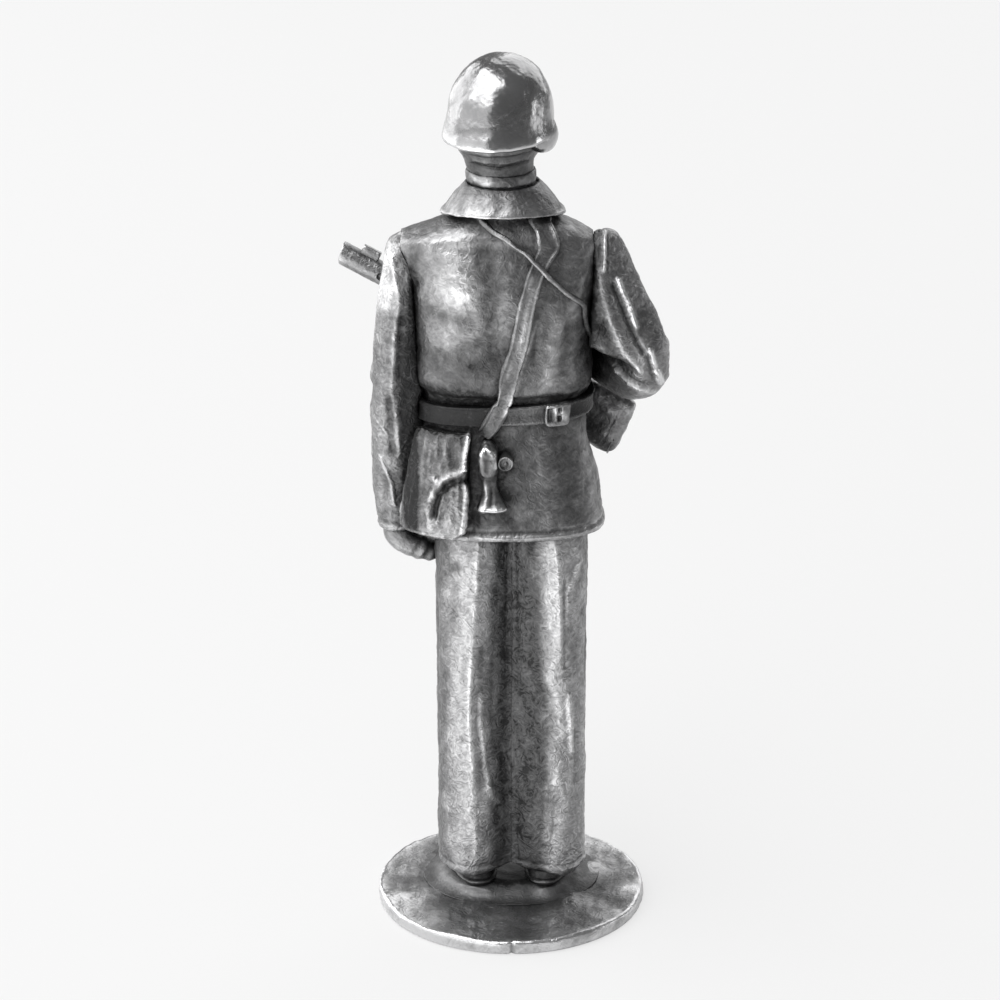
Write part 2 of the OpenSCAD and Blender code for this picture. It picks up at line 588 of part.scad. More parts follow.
// Rows along the bent arm: shares of the straight stretches, with shares of the elbow's two thicknesses
module right_sleeve() {
    upper_way = unit(right_elbow - right_shoulder);
    turn = acos(upper_way*forearm_way);
    cut = bend_radius*tan(turn/2);
    arc_start = right_elbow - cut*upper_way;
    arc_end = right_elbow + cut*forearm_way;
    inward = unit(forearm_way - (forearm_way*upper_way)*upper_way);
    upper_share = [[-0.11, 0.3, 0.4], [-0.07, 0.55, 0.62], [0, 0.72, 0.78], [0.15, 0.8, 0.86],
                   [0.45, 0.87, 0.9], [0.75, 0.95, 0.94]];
    lower_share = [[0.35, 0.92, 0.84], [0.7, 0.8, 0.76], [1, 0.7, 0.7]];
    rows = concat(
        [for (r = upper_share) concat(right_shoulder + r[0]*(arc_start - right_shoulder),
            elbow_width*[r[1], r[2]])],
        [for (k = [0:4]) let(f = turn*k/4)
            concat(arc_start + bend_radius*(sin(f)*upper_way + (1 - cos(f))*inward),
            elbow_width*[1, 0.94 - 0.06*k/4])],
        [for (r = lower_share) concat(arc_end + r[0]*(right_wrist - arc_end), elbow_width*[r[1], r[2]])]);
    color([0.6, 0.6, 0.62]) difference() {
        loft(path_rings(rows, unit(cross(upper_way, forearm_way)), loft_sides, 2.2));
        translate([right_seat_x - seat_gap/2, -gun_length, armpit_z]) cube([gun_length, 2*gun_length, top_z]);
        blouse_prism(strap_thickness + strap_gap + seat_gap);
        shoulder_pin_set(pin_gap);
        wrist_pin_set(pin_gap);
    }
}

module wrist_pin_set(gap) {
    wire_pin(left_cuff, [0, 0, 0], wrist_pin_diameter, wrist_pin_depth, wrist_pin_depth, gap);
    wire_pin(right_wrist, [0, acos(forearm_way[2]), atan2(forearm_way[1], forearm_way[0])],
        wrist_pin_diameter, wrist_pin_depth, wrist_pin_depth, gap);
}

// Left hand, curled in under the cuff: rows of shares of the hand's width along its middle line
module left_hand() {
    hand_share = [[0, 0, 0, 0.72, 0.72], [0, 0, -0.2, 0.82, 0.85], [-0.12, -0.1, -0.52, 0.84, 1],
                  [-0.42, -0.2, -0.82, 0.74, 1.02], [-0.74, -0.27, -0.93, 0.62, 0.98],
                  [-0.96, -0.3, -0.86, 0.5, 0.9], [-1.04, -0.31, -0.76, 0.3, 0.7]];
    start = left_cuff - [0, 0, 2*seat_gap];
    color([0.55, 0.54, 0.53]) difference() {
        loft(path_rings([for (r = smooth_table(hand_share, loft_steps))
            concat(start + hand_width*[r[0], r[1], r[2]], hand_width*[r[3], r[4]])],
            [0, 1, 0], thin_sides, 2.3));
        wrist_pin_set(pin_gap);
    }
}

// Gun frame: x runs from the butt to the muzzle, and z up, from a point in front of the chest
// Lift at which a piece lies on the belt; the stock clears the front buckle, at the right wrist's height
on_belt = 2*seat_gap + belt_thickness;
buckle_front = hem_depth*0.03 + waist_depth/2 + on_belt + buckle_thickness;
gun_anchor = [body_lean, -buckle_front - strap_gap - stock_width*0.65, right_wrist[2] + hand_width*0.03];
butt_x = -gun_length*0.44;
muzzle_x = gun_length*0.56;
grip_x = -gun_length*0.125;
function gun_point(p) = let(cr = cos(gun_rise), sr = sin(gun_rise), cs = cos(gun_swing), ss = sin(gun_swing))
    gun_anchor + p[0]*[cr*cs, -cr*ss, sr] + p[1]*[ss, cs, 0] + p[2]*[-sr*cs, sr*ss, cr];

// Right hand: from the wrist over the outer side of the stock and round under it
module right_hand() {
    w = stock_width;
    h = hand_width;
    wrist = right_wrist + 2*seat_gap*forearm_way;
    // Shares of the stock's width and of the hand's width beyond the stock's middle line
    hand_share = [[-1.05, 0.45], [-1.12, -0.5], [-0.9, -1.2], [-0.35, -1.5], [0.25, -1.45]];
    rows = concat([concat(wrist, h*[0.62, 0.8]), concat(wrist + 0.4*h*forearm_way, h*[0.6, 0.92])],
        [for (k = [0:len(hand_share) - 1]) concat(gun_point([grip_x, w*hand_share[k][0], w*hand_share[k][1]]),
            h*[0.5 - 0.04*k, 1 - 0.04*k])]);
    color([0.55, 0.54, 0.53]) difference() {
        loft(path_rings(smooth_table(rows, loft_steps), unit(gun_point([1, 0, 0]) - gun_anchor),
            thin_sides, 2.3));
        wrist_pin_set(pin_gap);
    }
}

// Belt and what sits on it
function belt_z(a) = waist_z - belt_slope/2*cos(a);
module waist_belt() {
    outer = seat_gap + belt_thickness;
    corners = [[-0.5, outer], [0.5, outer], [0.5, seat_gap], [-0.5, seat_gap]];
    color([0.5, 0.48, 0.46]) ring_loft([for (c = corners) [for (i = [0:loft_sides - 1])
        let(a = 360*i/loft_sides) lifted(a, belt_z(a) + belt_height*c[0], c[1])]]);
}
module belt_buckle() {
    color([0.7, 0.7, 0.7]) pad(270, belt_z(270), buckle_width, buckle_height, on_belt,
        buckle_thickness, 6, thin_sides);
}
slider_angle = 122;
module belt_slider() {
    color([0.7, 0.7, 0.7]) pad(slider_angle, belt_z(slider_angle), slider_width, slider_height, on_belt,
        buckle_thickness, 6, thin_sides);
}

// Haversack on the left hip, hung below the belt
bag_angle = 46;
bag_top_z = waist_z - belt_height*0.62;
module haversack() {
    color([0.58, 0.57, 0.55]) pad(bag_angle, bag_top_z - haversack_height/2, haversack_width, haversack_height,
        seat_gap, haversack_thickness, 4, 28);
}

// Haversack strap: rows of turn round the body, share of the height from waist to neck, and lift
function body_route(rows) = [for (r = rows) [r[0], waist_z + (neck_z - waist_z)*r[1], r[2]]];
module haversack_strap() {
    over_belt = on_belt + seat_gap;
    route_share = [[81, -0.055, over_belt], [84, 0, over_belt], [87, 0.05, over_belt],
        [90, 0.1, over_belt*0.7], [92, 0.18, over_belt*0.3], [96, 0.4, strap_gap],
        [103, 0.67, strap_gap], [118, 0.83, strap_gap],
        [134, 0.915, strap_gap], [157, 0.95, strap_gap], [180, 0.955, strap_gap], [203, 0.95, strap_gap],
        [228, 0.91, strap_gap], [250, 0.75, strap_gap], [268, 0.5, strap_gap], [285, 0.26, strap_gap],
        [295, 0.13, over_belt*0.5], [303, 0.055, over_belt], [312, 0, over_belt], [323, -0.05, over_belt],
        [336, -0.1, over_belt*0.8], [350, -0.13, strap_gap], [364, -0.135, strap_gap],
        [374, -0.135, strap_gap]];
    color([0.6, 0.58, 0.56]) strap(body_route(route_share), haversack_strap_width, strap_thickness);
}

// Water flask on the skirt: rows of share of its height, width and thickness, foot first
flask_angle = 86;
flask_foot_z = waist_z - belt_height*0.9 - flask_height;
module water_flask() {
    flask_share = [[0, 0.84, 0.7], [0.05, 1, 0.85], [0.16, 0.84, 0.8], [0.38, 0.76, 0.78], [0.6, 0.88, 0.9],
                   [0.8, 1, 1], [0.93, 0.84, 0.86], [1, 0.42, 0.5]];
    color([0.6, 0.6, 0.62]) loft([for (r = smooth_table(flask_share, loft_steps))
        let(z = flask_foot_z + flask_height*r[0], c = skin(flask_angle, z), t = flask_thickness*r[2])
        oval([c[0], c[1] + seat_gap + t/2, z, flask_width*r[1], t, 2.4], thin_sides)]);
}
module flask_stud() {
    z = flask_foot_z + flask_height*0.73;
    place = skin(flask_angle, z) + [-flask_width*0.22, 2*seat_gap + flask_thickness, 0];
    color([0.74, 0.74, 0.74]) translate(place) rotate([-90, 0, 0]) {
        cylinder(h = stud_diameter*0.2, d = stud_diameter, $fn = round_fn);
        cylinder(h = stud_diameter*0.36, d = stud_diameter*0.5, $fn = round_fn);
    }
}

// Gun
module in_gun_frame() {
    translate(gun_anchor) rotate([0, -gun_rise, -gun_swing]) children();
}
receiver_back_x = -gun_length*0.07;
receiver_front_x = gun_length*0.27;
module gun_receiver() {
    r = barrel_diameter/2;
    well = magazine_width*1.25;
    color([0.45, 0.45, 0.47]) in_gun_frame() difference() {
        union() {
            translate([receiver_back_x, 0, 0]) rotate([0, 90, 0])
                cylinder(h = receiver_front_x - receiver_back_x, d = stock_width, $fn = round_fn);
            translate([receiver_back_x, -stock_width/2, -stock_width*0.6])
                cube([receiver_front_x - receiver_back_x, stock_width, stock_width*0.6]);
            translate([receiver_front_x - well, -stock_width*0.42, -stock_width*0.85])
                cube([well, stock_width*0.84, stock_width*0.4]);
            translate([receiver_front_x, 0, 0]) rotate([0, 90, 0])
                cylinder(h = muzzle_x - receiver_front_x, r = r, $fn = round_fn);
            // Front sight, rear sight and bolt handle
            translate([muzzle_x - gun_length*0.1, -r*0.3, 0]) cube([r*1.1, r*0.6, r*1.8]);
            translate([receiver_front_x - gun_length*0.06, -r*0.45, 0]) cube([r, r*0.9, r*1.35]);
            translate([gun_length*0.1, -stock_width/2, stock_width*0.1]) rotate([90, 0, 0])
                cylinder(h = stock_width*0.45, d = stock_width*0.3, $fn = round_fn);
        }
        // Slanted end of the barrel jacket, and its bore
        translate([muzzle_x, -barrel_diameter, -barrel_diameter]) rotate([0, 20, 0])
            cube([barrel_diameter, 2*barrel_diameter, 3*barrel_diameter]);
        translate([muzzle_x - barrel_diameter, 0, 0]) rotate([0, 90, 0])
            cylinder(h = 2*barrel_diameter, d = barrel_diameter*0.42, $fn = round_fn);
    }
}
module gun_stock() {
    // Rows of share of the way from butt to receiver, drop, height and width, the last three by the butt
    stock_share = [[0, -0.32, 0.9, 0.86], [0.07, -0.32, 1, 1], [0.3, -0.25, 0.78, 1], [0.6, -0.16, 0.5, 0.92],
                   [0.85, -0.06, 0.4, 0.88], [1, -0.05, 0.4, 0.98]];
    last_x = receiver_back_x - 2*seat_gap;
    color([0.42, 0.4, 0.38]) in_gun_frame() loft(path_rings([for (r = smooth_table(stock_share, loft_steps))
        [butt_x + (last_x - butt_x)*r[0], 0, butt_length*r[1], stock_width*r[3], butt_length*r[2]]],
        [0, 0, 1], 28, 3.2));
}
module gun_magazine() {
    top = -stock_width*0.85 - seat_gap;
    middle_x = receiver_front_x - magazine_width*0.625;
    // Share of the length, and of the width that it swings forward
    magazine_share = [[0, 0], [0.35, 0.04], [0.7, 0.16], [1, 0.34]];
    color([0.45, 0.45, 0.47]) in_gun_frame() loft(path_rings([for (r = magazine_share)
        [middle_x + magazine_width*r[1], 0, top - magazine_length*r[0], magazine_width, stock_width*0.6]],
        [0, 1, 0], thin_sides, 5));
}

module gun_sling() {
    // Lift at which the front end of the sling meets the top of the gun
    gun_reach = stock_width*1.05;
    over_strap = strap_thickness + strap_gap + seat_gap;
    route_share = [[226, 0.08, strap_gap*1.4], [219, 0.135, strap_gap], [210, 0.2, strap_gap],
        [197, 0.285, strap_gap], [178, 0.37, strap_gap], [158, 0.46, strap_gap], [143, 0.53, strap_gap],
        [126, 0.63, strap_gap], [116, 0.69, over_strap], [108, 0.735, over_strap], [100, 0.78, over_strap],
        [84, 0.86, strap_gap], [58, 0.93, strap_gap], [30, 0.955, strap_gap], [0, 0.96, strap_gap],
        [-30, 0.955, strap_gap], [-54, 0.92, strap_gap], [-60, 0.8, strap_gap], [-62, 0.65, strap_gap],
        [-62, 0.5, over_strap], [-62, 0.41, gun_reach]];
    color([0.55, 0.53, 0.5]) strap(body_route(route_share), sling_width, strap_thickness);
}

// Wire pins
module foot_pins() { color([0.75, 0.75, 0.78]) foot_pin_set(0); }
module hip_pins() { color([0.75, 0.75, 0.78]) hip_pin_set(0); }
module neck_pin() { color([0.75, 0.75, 0.78]) neck_pin_at(0); }
module shoulder_pins() { color([0.75, 0.75, 0.78]) shoulder_pin_set(0); }
module wrist_pins() { color([0.75, 0.75, 0.78]) wrist_pin_set(0); }

base_plate();
ground_plate();
left_leg();
right_leg();
left_boot();
right_boot();
jacket();
collar();
neck_scarf();
head();
helmet();
left_sleeve();
right_sleeve();
left_hand();
right_hand();
waist_belt();
belt_buckle();
belt_slider();
haversack();
haversack_strap();
water_flask();
flask_stud();
gun_receiver();
gun_stock();
gun_magazine();
gun_sling();
foot_pins();
hip_pins();
neck_pin();
shoulder_pins();
wrist_pins();
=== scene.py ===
"""Toy soldier figure: antiqued pewter castings pinned together on a round base. Lengths in millimetres."""
import bpy
import numpy as np
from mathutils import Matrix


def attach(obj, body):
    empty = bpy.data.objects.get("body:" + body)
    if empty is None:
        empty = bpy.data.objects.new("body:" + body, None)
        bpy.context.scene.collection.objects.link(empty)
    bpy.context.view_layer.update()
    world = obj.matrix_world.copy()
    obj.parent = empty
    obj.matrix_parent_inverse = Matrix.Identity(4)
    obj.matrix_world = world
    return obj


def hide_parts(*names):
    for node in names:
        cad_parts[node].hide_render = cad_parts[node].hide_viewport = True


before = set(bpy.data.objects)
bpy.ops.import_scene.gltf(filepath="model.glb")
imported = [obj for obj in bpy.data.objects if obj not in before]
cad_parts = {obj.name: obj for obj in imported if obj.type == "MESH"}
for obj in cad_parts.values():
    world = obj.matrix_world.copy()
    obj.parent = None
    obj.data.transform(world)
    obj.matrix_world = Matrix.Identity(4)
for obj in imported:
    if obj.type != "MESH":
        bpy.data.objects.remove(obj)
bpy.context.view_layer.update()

# Base plate: a round disc of cast pewter, flat underneath, with a softened edge. Its upper face is as
# uneven as the mould, and a nick from the casting gate is left in the rim at the back.
MM = 0.001
base_radius, base_top_z = 9.2, 0.93
castings = []


def evenly(rows, count):
    """Rows spread evenly by length along the straight lines through the given rows [x, y, z, ...]."""
    run = np.concatenate([[0], np.cumsum(np.linalg.norm(np.diff(rows[:, :3], axis=0), axis=1))])
    spread = np.linspace(0, run[-1], count)
    return np.stack([np.interp(spread, run, column) for column in rows.T], axis=1)


def smooth(table, count):
    """Rows spread evenly along a Catmull-Rom curve through the rows of a table."""
    t = np.asarray(table, float)
    t = np.vstack([2*t[0] - t[1], t, 2*t[-1] - t[-2]])
    u = np.linspace(0, len(t) - 3, 24*(len(t) - 3) + 1)
    i = np.minimum(u.astype(int), len(t) - 4)
    f = (u - i)[:, None]
    a, b, c, d = t[i], t[i + 1], t[i + 2], t[i + 3]
    return evenly(b + 0.5*f*(c - a + f*(2*a - 5*b + 4*c - d + f*(3*(b - c) + d - a))), count)


def bulge(c, p):
    """c to the power 2/p with its sign kept: the coordinate of a superellipse of roundness p."""
    return np.sign(c)*np.abs(c)**(2/p)


def bell(d, width):
    """Bell curve of height 1 over d = 0: e to the power of minus the square of d/width."""
    return np.exp(-(d/width)**2)


def clamp(value):
    """The value, kept from 0 to 1."""
    return np.clip(value, 0, 1)


def axes(p):
    """The x, y and z of points, one array each."""
    return np.moveaxis(p, -1, 0)


def ovals(rows, n):
    """Level superellipses of n points for the rows [x, y, z, width, depth, roundness]."""
    a = np.linspace(0, 2*np.pi, n, endpoint=False)
    x, y, z, w, d, p = (column[:, None] for column in np.asarray(rows, float).T)
    return np.stack([x + w/2*bulge(np.cos(a), p), y + d/2*bulge(np.sin(a), p), z + 0*a], axis=-1)


def unit(v):
    """v divided by its length, along the last axis."""
    return v/np.maximum(np.linalg.norm(v, axis=-1, keepdims=True), 1e-12)


def lumps(points, size, seed):
    """Unevenness from about -1 to 1: a sum of 24 plane waves of about that length in random directions."""
    draw = np.random.default_rng(seed)
    ways = unit(draw.normal(size=(24, 3)))*(2*np.pi/size*draw.uniform(0.7, 1.5, (24, 1)))
    starts = draw.uniform(0, 2*np.pi, 24)
    return sum(np.sin(points @ way + start) for way, start in zip(ways, starts))/np.sqrt(24)


def mould_skin(points):
    """Height of the uneven skin that a hand-cut rubber mould leaves, from coarse facets to fine pits."""
    facets = np.abs(lumps(points, 3.4, 11))
    return 0.04*(facets - 0.55) + 0.018*lumps(points, 1.1, 12) + 0.009*lumps(points, 0.42, 13)


def strokes(points, normals, face, marks):
    """Height of hand-cut marks on one face. Each mark (rise, width, route) is a Gaussian ridge, or a groove
    where the rise is negative, along its route of x, z pairs, or y, z pairs on the left and right."""
    axis, sign, across = {"back": (1, 1, 0), "front": (1, -1, 0), "left": (0, 1, 1),
                          "right": (0, -1, 1)}[face]
    flat = points[..., [across, 2]]
    height = np.zeros(flat.shape[:-1])
    for rise, width, route in marks:
        ends = np.reshape(route, (-1, 2)).astype(float)
        near = np.linalg.norm(flat - ends[0], axis=-1)
        for a, b in zip(ends[:-1], ends[1:]):
            share = clamp((flat - a) @ (b - a)/((b - a) @ (b - a)))[..., None]
            near = np.minimum(near, np.linalg.norm(flat - a - share*(b - a), axis=-1))
        height += rise*bell(near, width)
    return height*clamp(normals[..., axis]*sign*3)


def turned_over(ring, before, radius):
    """Rings that take an end over a quarter circle of that radius and on in to the middle of its face."""
    middle = ring.mean(0)
    way = unit(middle - before.mean(0))*radius
    share = radius/np.linalg.norm(ring - middle, axis=1).mean()
    angles = np.radians([18, 36, 54, 72, 90])
    over = [middle + (ring - middle)*(1 - share*(1 - np.cos(t))) + way*np.sin(t) for t in angles]
    return over + [middle + way + (ring - middle)*(1 - share)*s for s in (0.85, 0.6, 0.35, 0.12)]


def shell(rings, relief=None, hooped=False, ends=0.0, skin=1.0):
    """One closed surface as (rings, height, hooped): the rings face outwards, the ends are rounded over,
    and each point is moved along its normal by relief(points, normals, u, v) and the mould's skin."""
    if ends:
        first = turned_over(rings[0], rings[1], ends)[::-1]
        rings = np.concatenate([first, rings, turned_over(rings[-1], rings[-2], ends)])
    m, n = rings.shape[:2]
    u, v = np.meshgrid(np.arange(n)/n, np.linspace(0, 1, m))
    along = np.roll(rings, -1, 0) - np.roll(rings, 1, 0) if hooped else np.gradient(rings, axis=0)
    normals = unit(np.cross(np.roll(rings, -1, 1) - np.roll(rings, 1, 1), along))
    if np.sum((rings - rings.mean(1, keepdims=True))*normals) < 0:
        rings, normals, u, v = rings[:, ::-1], -normals[:, ::-1], u[:, ::-1], v[:, ::-1]
    height = skin*mould_skin(rings)
    if relief is not None:
        height = height + relief(rings, normals, u, v)
    return rings + height[..., None]*normals, height, hooped


def cast(name, node, finish, *shells):
    """Mesh object of one casting that stands for a CAD node. Each ring is joined to the next, a hoop's last
    ring to its first, and the ends of the others are closed by a fan round the middle of the ring."""
    points, heights, quads, fans, count = [], [], [], [], 0
    for rings, height, hooped in shells:
        m, n = rings.shape[:2]
        index = count + np.arange(m*n).reshape(m, n)
        low, high = (index, np.roll(index, -1, 0)) if hooped else (index[:-1], index[1:])
        quads.append(np.stack([low, np.roll(low, -1, 1), np.roll(high, -1, 1), high], -1).reshape(-1, 4))
        points.append(rings.reshape(-1, 3))
        heights.append(height.ravel())
        count += m*n
        if not hooped:
            for k, ring, after in ((0, np.roll(index[0], -1), index[0]),
                                   (-1, index[-1], np.roll(index[-1], -1))):
                points.append(rings[k].mean(0)[None])
                heights.append(height[k, :1])
                fans.append(np.stack([np.full(n, count), ring, after], -1))
                count += 1
    points, quads = np.concatenate(points)*MM, np.concatenate(quads)
    fans = np.concatenate(fans) if fans else np.zeros((0, 3), int)
    mesh = bpy.data.meshes.new(name)
    mesh.vertices.add(len(points))
    mesh.vertices.foreach_set("co", points.ravel())
    mesh.loops.add(quads.size + fans.size)
    mesh.loops.foreach_set("vertex_index", np.concatenate([quads.ravel(), fans.ravel()]))
    mesh.polygons.add(len(quads) + len(fans))
    starts = np.concatenate([4*np.arange(len(quads)), quads.size + 3*np.arange(len(fans))])
    mesh.polygons.foreach_set("loop_start", starts)
    mesh.update(calc_edges=True)
    mesh.shade_smooth()
    mesh.attributes.new("relief", "FLOAT", "POINT").data.foreach_set("value", np.concatenate(heights))
    mesh.materials.append(finish)
    obj = bpy.data.objects.new(name, mesh)
    bpy.context.scene.collection.objects.link(obj)
    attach(obj, "root")
    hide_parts(node)
    castings.append((obj, shells))
    return obj


def antiquing_and_painted_light_group():
    """Dark wash left in the hollows and bright metal on the ridges, with painted shade and painted
    highlights:
    the tone is the first input at the point, which carries the painted light too, plus patches of about 1
    mm and grain of a named size, and a ramp turns it into colour and roughness."""
    group = bpy.data.node_groups.new("antiquing_and_painted_light", "ShaderNodeTree")
    for socket, value in (("Wear_and_painted_light", 0.5), ("Grain size", 0.3), ("Grain", 0.3), ("Patches", 0.2),
                          ("Polish", 0.0), ("Gloss", 0.0)):
        group.interface.new_socket(socket, in_out="INPUT",
                                   socket_type="NodeSocketFloat").default_value = value
    group.interface.new_socket("Color", in_out="OUTPUT", socket_type="NodeSocketColor")
    for socket in ("Roughness", "Height"):
        group.interface.new_socket(socket, in_out="OUTPUT", socket_type="NodeSocketFloat")
    nodes, links = group.nodes, group.links
    given, made = nodes.new("NodeGroupInput"), nodes.new("NodeGroupOutput")
    place = nodes.new("ShaderNodeTexCoord")

    def sums(operation, a, b, c=None):
        """Math node over sockets or numbers."""
        node = nodes.new("ShaderNodeMath")
        node.operation = operation
        for socket, value in zip(node.inputs, (a, b, c)):
            if isinstance(value, (int, float)):
                socket.default_value = value
            elif value is not None:
                links.new(value, socket)
        return node.outputs[0]

    def noise(scale, detail, roughness, distortion):
        """Noise in the object's own space."""
        node = nodes.new("ShaderNodeTexNoise")
        links.new(place.outputs["Object"], node.inputs["Vector"])
        node.inputs["Detail"].default_value = detail
        node.inputs["Roughness"].default_value = roughness
        node.inputs["Distortion"].default_value = distortion
        if isinstance(scale, (int, float)):
            node.inputs["Scale"].default_value = scale
        else:
            links.new(scale, node.inputs["Scale"])
        return sums("SUBTRACT", node.outputs[0], 0.5)

    patches = noise(750.0, 3.0, 0.6, 1.6)
    worms = noise(sums("DIVIDE", 1/MM, given.outputs["Grain size"]), 1.2, 0.5, 2.6)
    pits = noise(7000.0, 2.0, 0.6, 0.4)
    fine = sums("MULTIPLY_ADD", pits, 0.3, worms)
    tone = sums("MULTIPLY_ADD", patches, given.outputs["Patches"], given.outputs["Wear_and_painted_light"])
    tone = sums("MULTIPLY_ADD", fine, given.outputs["Grain"], tone)
    tone = sums("ADD", tone, given.outputs["Polish"])
    ramp = nodes.new("ShaderNodeValToRGB")
    tones = ((0.0, 0.03), (0.07, 0.06), (0.3, 0.12), (0.5, 0.22), (0.65, 0.34), (0.85, 0.56))
    while len(ramp.color_ramp.elements) < len(tones):
        ramp.color_ramp.elements.new(0.5)
    for element, (position, grey) in zip(ramp.color_ramp.elements, tones):
        element.position = position
        element.color = (grey, grey, grey*1.01, 1)
    links.new(tone, ramp.inputs[0])
    rough = nodes.new("ShaderNodeMapRange")
    for socket, value in zip(rough.inputs[1:5], (0.2, 0.85, 0.46, 0.24)):
        socket.default_value = value
    links.new(tone, rough.inputs[0])
    links.new(ramp.outputs[0], made.inputs["Color"])
    links.new(sums("SUBTRACT", rough.outputs[0], given.outputs["Gloss"]), made.inputs["Roughness"])
    links.new(fine, made.inputs["Height"])
    return group


antiquing_and_painted_light = antiquing_and_painted_light_group()


def pewter(name, grain_size, grain, patches, polish, pits, gloss=0.0):
    """Antiqued pewter: size and strength of the grain, patches, polish, depth of the pits, and gloss."""
    material = bpy.data.materials.new(name)
    material.use_nodes = True
    nodes, links = material.node_tree.nodes, material.node_tree.links
    metal = nodes["Principled BSDF"]
    metal.inputs["Metallic"].default_value = 1.0
    # The attribute read here is the rubbed metal of each point together with its painted shade and painted
    # highlights.
    wear_and_light_attribute = nodes.new("ShaderNodeAttribute")
    wear_and_light_attribute.attribute_name = "wear_and_painted_light"
    aged = nodes.new("ShaderNodeGroup")
    aged.node_tree = antiquing_and_painted_light
    for socket, value in (("Grain size", grain_size), ("Grain", grain), ("Patches", patches),
                          ("Polish", polish), ("Gloss", gloss)):
        aged.inputs[socket].default_value = value
    bump = nodes.new("ShaderNodeBump")
    bump.inputs["Distance"].default_value = pits*MM
    links.new(wear_and_light_attribute.outputs["Fac"], aged.inputs["Wear_and_painted_light"])
    links.new(aged.outputs["Color"], metal.inputs["Base Color"])
    links.new(aged.outputs["Roughness"], metal.inputs["Roughness"])
    links.new(aged.outputs["Height"], bump.inputs["Height"])
    links.new(bump.outputs["Normal"], metal.inputs["Normal"])
    return material


ground_pewter = pewter("ground_pewter", 0.6, 0.28, 0.28, 0.13, 0.04, -0.06)
base_profile = [
    [0.05, 0, 0], [8.95, 0, 0], [9.12, 0, 0.05], [base_radius, 0, 0.17], [base_radius, 0, 0.8],
    [9.14, 0, 0.93], [9.02, 0, 1.0], [8.7, 0, 0.98], [7.5, 0, base_top_z], [0.05, 0, base_top_z]]
base_rows = evenly(np.array(base_profile), 150)
base_rings = ovals([[0, 0, z, 2*r, 2*r, 2] for r, _, z in base_rows], 320)


def base_relief(p, n, u, v):
    """Broad waves on the upper face, and the nick in the rim."""
    x, y, _ = axes(p)
    top = clamp(n[..., 2]*2 - 1)
    nick = np.exp(-((x + 0.03)/0.12)**2 - ((y - base_radius)/0.3)**2)
    rim = bell(np.hypot(x, y) - 9.05, 0.14)
    return top*(0.07*lumps(p, 4.5, 21) + 0.02*rim) - 0.16*nick - 0.9*mould_skin(p)*(n[..., 2] < -0.5)


cast("base_plate_cast", "base_plate", ground_pewter, shell(base_rings, base_relief))

# Raised ground: a low irregular mound of cast earth that is soldered to the base plate, so that the boots
# stand clear of it. Its edge runs out in a soft slope, with a leaf-shaped lump at the left.
ground_profile = [
    [6.3, 0, 0.92], [6.1, 0, 0.935], [5.9, 0, 0.96], [5.7, 0, 1.0], [5.5, 0, 1.06], [5.3, 0, 1.15],
    [5.1, 0, 1.27], [4.9, 0, 1.41], [4.7, 0, 1.55], [4.5, 0, 1.66], [4.25, 0, 1.74], [3.9, 0, 1.79],
    [0.05, 0, 1.8]]
ground_rows = evenly(np.array(ground_profile), 90)
ground_rings = ovals([[0, -1.9, z, 1.96*r, 1.75*r, 2.2] for r, _, z in ground_rows], 240)


def ground_relief(p, n, u, v):
    """Earth heaped against the heels and waves on top, all fading out towards the edge."""
    x, y, z = axes(p)
    side = clamp(1.6 - 2*n[..., 2])
    marks = [(0.3, 0.4, [5.3, 1.6, 5.0, 2.2]), (0.1, 0.3, [5.2, 1.5, 3.6, 1.3, 1.6, 1.2])]
    heaps = 0.45*bell(np.hypot(np.abs(x) - 2.8, y - 2.3), 1.2)*clamp(n[..., 2])
    height = heaps + 0.1*side*lumps(p, 2.6, 31) + 0.03*lumps(p, 1.6, 32) + strokes(p, n, "back", marks)
    return height*clamp((z - base_top_z)/0.35)


mound_pewter = pewter("mound_pewter", 0.6, 0.2, 0.12, -0.02, 0.03, -0.12)
cast("ground_cast", "ground_plate", mound_pewter, shell(ground_rings, ground_relief, skin=0.4))

# Wire pins: plain drawn steel, pressed into the feet, hips, neck, shoulders and wrists. They stay inside
# the castings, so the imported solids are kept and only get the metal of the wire.
wire = bpy.data.materials.new("pin_wire")
wire.use_nodes = True
wire_nodes, wire_links = wire.node_tree.nodes, wire.node_tree.links
drawn = wire_nodes.new("ShaderNodeTexNoise")
drawn.inputs["Scale"].default_value = 3000.0
wire_shades = wire_nodes.new("ShaderNodeMapRange")
wire_shades.inputs[3].default_value, wire_shades.inputs[4].default_value = 0.25, 0.45
wire_place = wire_nodes.new("ShaderNodeTexCoord")
wire_links.new(wire_place.outputs["Object"], drawn.inputs["Vector"])
wire_links.new(drawn.outputs[0], wire_shades.inputs[0])
wire_links.new(wire_shades.outputs[0], wire_nodes["Principled BSDF"].inputs["Roughness"])
wire_nodes["Principled BSDF"].inputs["Base Color"].default_value = (0.55, 0.55, 0.57, 1)
wire_nodes["Principled BSDF"].inputs["Metallic"].default_value = 1.0
for pins in ("foot_pins", "hip_pins", "neck_pin", "shoulder_pins", "wrist_pins"):
    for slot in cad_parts[pins].material_slots:
        slot.material = wire

# Boots: cast with a welt round the sole and laces over the instep. They stand on the raised ground with
# the toes turned out, and the trouser hems hang over them.
leg_x, leg_depth, sole_z, trouser_z, hem_rise = 2.5, 5.2, 1.8, 3.0, 1.3
boot_length, toe_turn = 8.2, np.radians(9)
leather_pewter = pewter("leather_pewter", 0.45, 0.25, 0.4, -0.07, 0.04, -0.05)
boot_pewter = pewter("boot_pewter", 0.45, 0.2, 0.2, 0.04, 0.03, -0.1)
boot_share = [
    [0, 0, 0.92, 0.98, 0], [0, 0.14, 1, 1, 0], [0.01, 0.45, 1, 0.97, 0.25], [0.06, 0.7, 0.96, 0.86, 0.6],
    [0.14, 0.9, 0.9, 0.68, 0.9], [0.2, 1, 0.84, 0.54, 1]]


